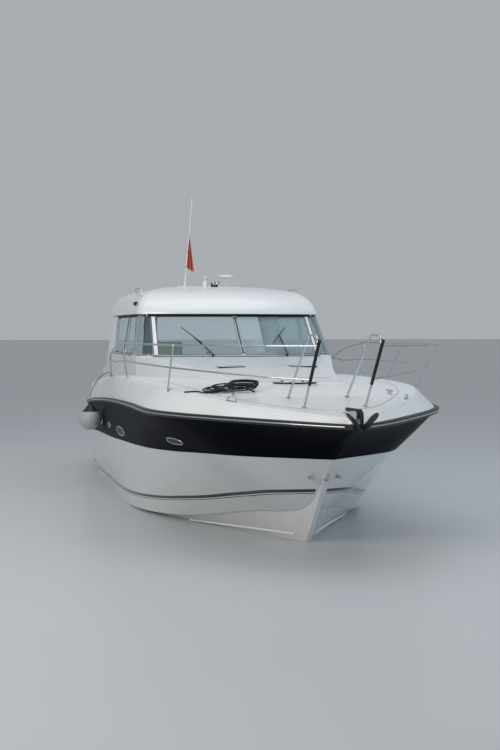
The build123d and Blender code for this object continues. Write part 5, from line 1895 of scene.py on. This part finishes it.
@dataclass
class Helm:
    """Screens, dials and controls of the helm, the wheel's boss and the door's handle.

    Attributes:
        panel_x: Where the sloping panel's middle line lies along the boat.
        panel_z: Height of that line.
        out: Direction that the panel faces.
        rise: Direction up the panel.
        screens: y of each screen's middle.
        wheel: Middle of the steering wheel.
        wheel_axis: Direction of its axis.
    """

    yard: Yard
    panel_x: float = -0.975
    panel_z: float = 2.205
    out: Point = (-0.857, 0.0, 0.515)
    rise: Point = (0.515, 0.0, 0.857)
    screens: Pair = (-0.50, -1.14)
    wheel: Point = (-1.150, -0.820, 2.170)
    wheel_axis: Point = (-0.848048, 0.0, 0.529919)

    def panel(self, y: float, size: Pair, low: float, high: float) -> tuple:
        """Block on the sloping panel, as wide and tall as given, between two heights over it.

        Args:
            y: Place of its middle across the boat.
            size: Width and height.
            low: Start of its thickness over the panel.
            high: End of its thickness.

        Returns:
            The shape and its values.
        """
        frame = towards((self.panel_x, y, self.panel_z), Vector(self.out))
        wide, tall = size if abs(frame.col[0].y) > 0.5 else size[::-1]
        return box, (-wide / 2, -tall / 2, low), (wide / 2, tall / 2, high), 0.004, frame

    def build(self) -> None:
        """Makes all of it."""
        yard, out = self.yard, Vector(self.out)
        bezels = [self.panel(y, (0.30, 0.20), -0.004, 0.014) for y in self.screens]
        yard.piece("helm_bezels", BLACK_PLASTIC, *bezels)
        screens = [self.panel(y, (0.27, 0.165), 0.010, 0.0165) for y in self.screens]
        yard.piece("helm_screens", SCREEN, *screens)
        dial = ((0.033, -0.003), (0.033, 0.008), (0.029, 0.011), (0.027, 0.008), (0.0, 0.008))
        places = [Vector((self.panel_x, y, self.panel_z)) + Vector(self.rise) * 0.085
                  for y in (-0.74, -0.82, -0.90)]
        yard.piece("helm_dials", DIAL, *((lathe, dial, place, out, 30) for place in places))
        knob = ((0.0, -0.012), (0.012, -0.008), (0.014, 0.0), (0.012, 0.008), (0.0, 0.012))
        shapes = [(box, (-0.80, -0.42, 2.338), (-0.66, -0.34, 2.372), 0.006)]
        for y in (-0.40, -0.36):
            shapes += [(tube, [(-0.73, y, 2.36), (-0.745, y, 2.44), (-0.75, y, 2.455)], 0.006, 10),
                       (lathe, knob, (-0.75, y, 2.463), UP, 16)]
        compass = ((0.060, -0.004), (0.060, 0.02), (0.052, 0.045), (0.030, 0.066), (0.0, 0.072))
        shapes.append((lathe, compass, (-0.70, -0.82, 2.362), UP, 36))
        yard.piece("helm_controls", BLACK_PLASTIC, *shapes)
        axis = Vector(self.wheel_axis)
        boss = ((0.033, -0.008), (0.034, 0.0), (0.026, 0.006), (0.0, 0.008))
        yard.piece("wheel_boss", SATIN_STEEL, (lathe, boss, Vector(self.wheel) - axis * 0.004, axis, 30),
                   body="steering_wheel")
        grip = ((-0.558, 0.13, 1.86), (-0.590, 0.13, 1.87), (-0.596, 0.13, 1.93), (-0.590, 0.13, 1.99),
                (-0.558, 0.13, 2.00))
        yard.piece("door_handle", STAINLESS, (tube, smooth(grip, 6), 0.008), body="cabin_door")


@dataclass
class Galley:
    """Worktop, sink, tap and door seams of the galley."""

    yard: Yard
    top: float = 2.280
    front: float = -1.0505
    seams: Point = (-3.0, -2.75, -2.5)

    def build(self) -> None:
        """Makes all of it."""
        yard, top, front = self.yard, self.top, self.front
        yard.piece("galley_worktop", WHITE_PLASTIC,
                   (box, (-3.248, -1.553, top), (-2.252, -1.048, top + 0.018), 0.005))
        bowl = ((0.150, 0.017), (0.152, 0.022), (0.140, 0.023), (0.132, 0.019), (0.0, 0.0185))
        tap = [(-2.55, y, top + rise) for y, rise in ((-1.465, 0.01), (-1.465, 0.16), (-1.425, 0.20),
                                                      (-1.355, 0.18), (-1.335, 0.14))]
        yard.piece("galley_sink", STAINLESS, (lathe, bowl, (-2.55, -1.275, top), UP, 40),
                   (tube, smooth(tap, 6), 0.010))
        doors = []
        for x in self.seams:
            doors += [(box, (x - 0.003, front, 1.50), (x + 0.003, front + 0.002, 2.22)),
                      (box, (x + 0.090, front, 2.12), (x + 0.110, front + 0.012, 2.145), 0.003)]
        yard.piece("galley_doors", DARK_TRIM, *doors)


@dataclass
class Stern:
    """Slats of the platform, the gate's latch and the engine hatch's ring.

    Attributes:
        slat_x: Place of the aft slat.
        pitch: Distance from slat to slat.
        slats: Number of slats.
        half: Half width of a slat.
        reach: Half length of a full slat.
    """

    yard: Yard
    slat_x: float = -6.02
    pitch: float = 0.068
    slats: int = 11
    half: float = 0.029
    reach: float = 1.40

    def build(self) -> None:
        """Makes all of it."""
        yard, slats = self.yard, []
        for row in range(self.slats):
            low, high = self.slat_x + self.pitch * row - self.half, self.slat_x + self.pitch * row + self.half
            reach = self.reach if row > 3 else self.reach - 0.30 + 0.09 * row
            slats.append((box, (low, -reach, 0.4195), (high, reach, 0.4245), 0.0015))
        yard.piece("platform_slats", TEAK, *slats)
        route = ((-5.215, -0.91), (-5.226, -0.91), (-5.231, -0.94), (-5.231, -0.98))
        lever = [(x, y, 1.665) for x, y in route]
        yard.piece("gate_latch", STAINLESS, (box, (-5.217, -0.920, 1.640), (-5.203, -0.865, 1.690), 0.004),
                   (tube, lever, 0.005, 10), body="transom_gate")
        ring = ((0.034, 0.0), (0.034, 0.002), (0.026, 0.003), (0.024, 0.001), (0.0, 0.001))
        yard.piece("engine_hatch_pull", STAINLESS, (lathe, ring, (-4.25, 0.0, 1.150), UP, 30),
                   body="engine_hatch")


# Main


def paint_nodes(yard: Yard) -> None:
    """Gives every CAD node its own material.

    Args:
        yard: The frame and the paints.
    """
    paints = {
        "hull": hull_material(),
        "deck anchor_locker_lid": deck_material(),
        "windscreen side_windows": glass_material(),
        "window_frame hardtop sunroof transom_gate": DECK_GELCOAT,
        "rub_rail": RAIL_DARK,
        "foredeck_hatch deck_lights cabin_door": SMOKED,
        "cleats bow_roller bow_eye bow_rail_port bow_rail_starboard roof_rails": STAINLESS,
        "swim_ladder shaft_port shaft_starboard": STAINLESS,
        "anchor": ANCHOR_PAINT,
        "swim_platform engine_hatch": TEAK,
        "engines": ENGINE_PAINT,
        "propeller_port propeller_starboard rudder_port rudder_starboard struts": BRONZE,
        "trim_tabs": SATIN_STEEL,
        "helm_console": DARK_TRIM,
        "steering_wheel": BLACK_LEATHER,
        "helm_seat cockpit_bench": INNER_GELCOAT,
        "settee galley": VENEER,
        "wipers horn side_lights": BLACK_PLASTIC,
        "whip_antenna anchor_light disc_antenna": WHITE_PLASTIC,
        "flag": FLAG_CLOTH,
        "fender": FENDER_VINYL,
        "helm_cushions settee_cushions bench_cushions": PALE_LEATHER,
        "fender_line": NAVY_ROPE,
        "rope_hank": BLACK_ROPE,
    }
    by_node = {node: paint for nodes, paint in paints.items() for node in nodes.split()}
    for node in yard.frame["nodes"]:
        yard.paint(node, by_node[node])


def main() -> None:
    """Builds the whole picture."""
    logging.basicConfig(level=logging.INFO, format="%(message)s")
    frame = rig.load()
    cad_box = [list(corner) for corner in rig.bounds()]
    shot = Shot()
    shot.camera()
    yard = Yard(frame, Paints(), Surface(frame))
    Cords(yard).build()
    paint_nodes(yard)
    for trade in (HullTrim, Windows, Curtain, DeckGear, RailGear, RoofGear, Flag, Upholstery, BallFender,
                  Helm, Galley, Stern):
        trade(yard).build()
    shot.studio()
    bpy.context.view_layer.update()
    with open(SIZE_FILE, "w", encoding="utf-8") as out:
        json.dump({"cad": cad_box, "visual": [list(corner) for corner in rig.bounds()]}, out)


if __name__ == "__main__":
    main()
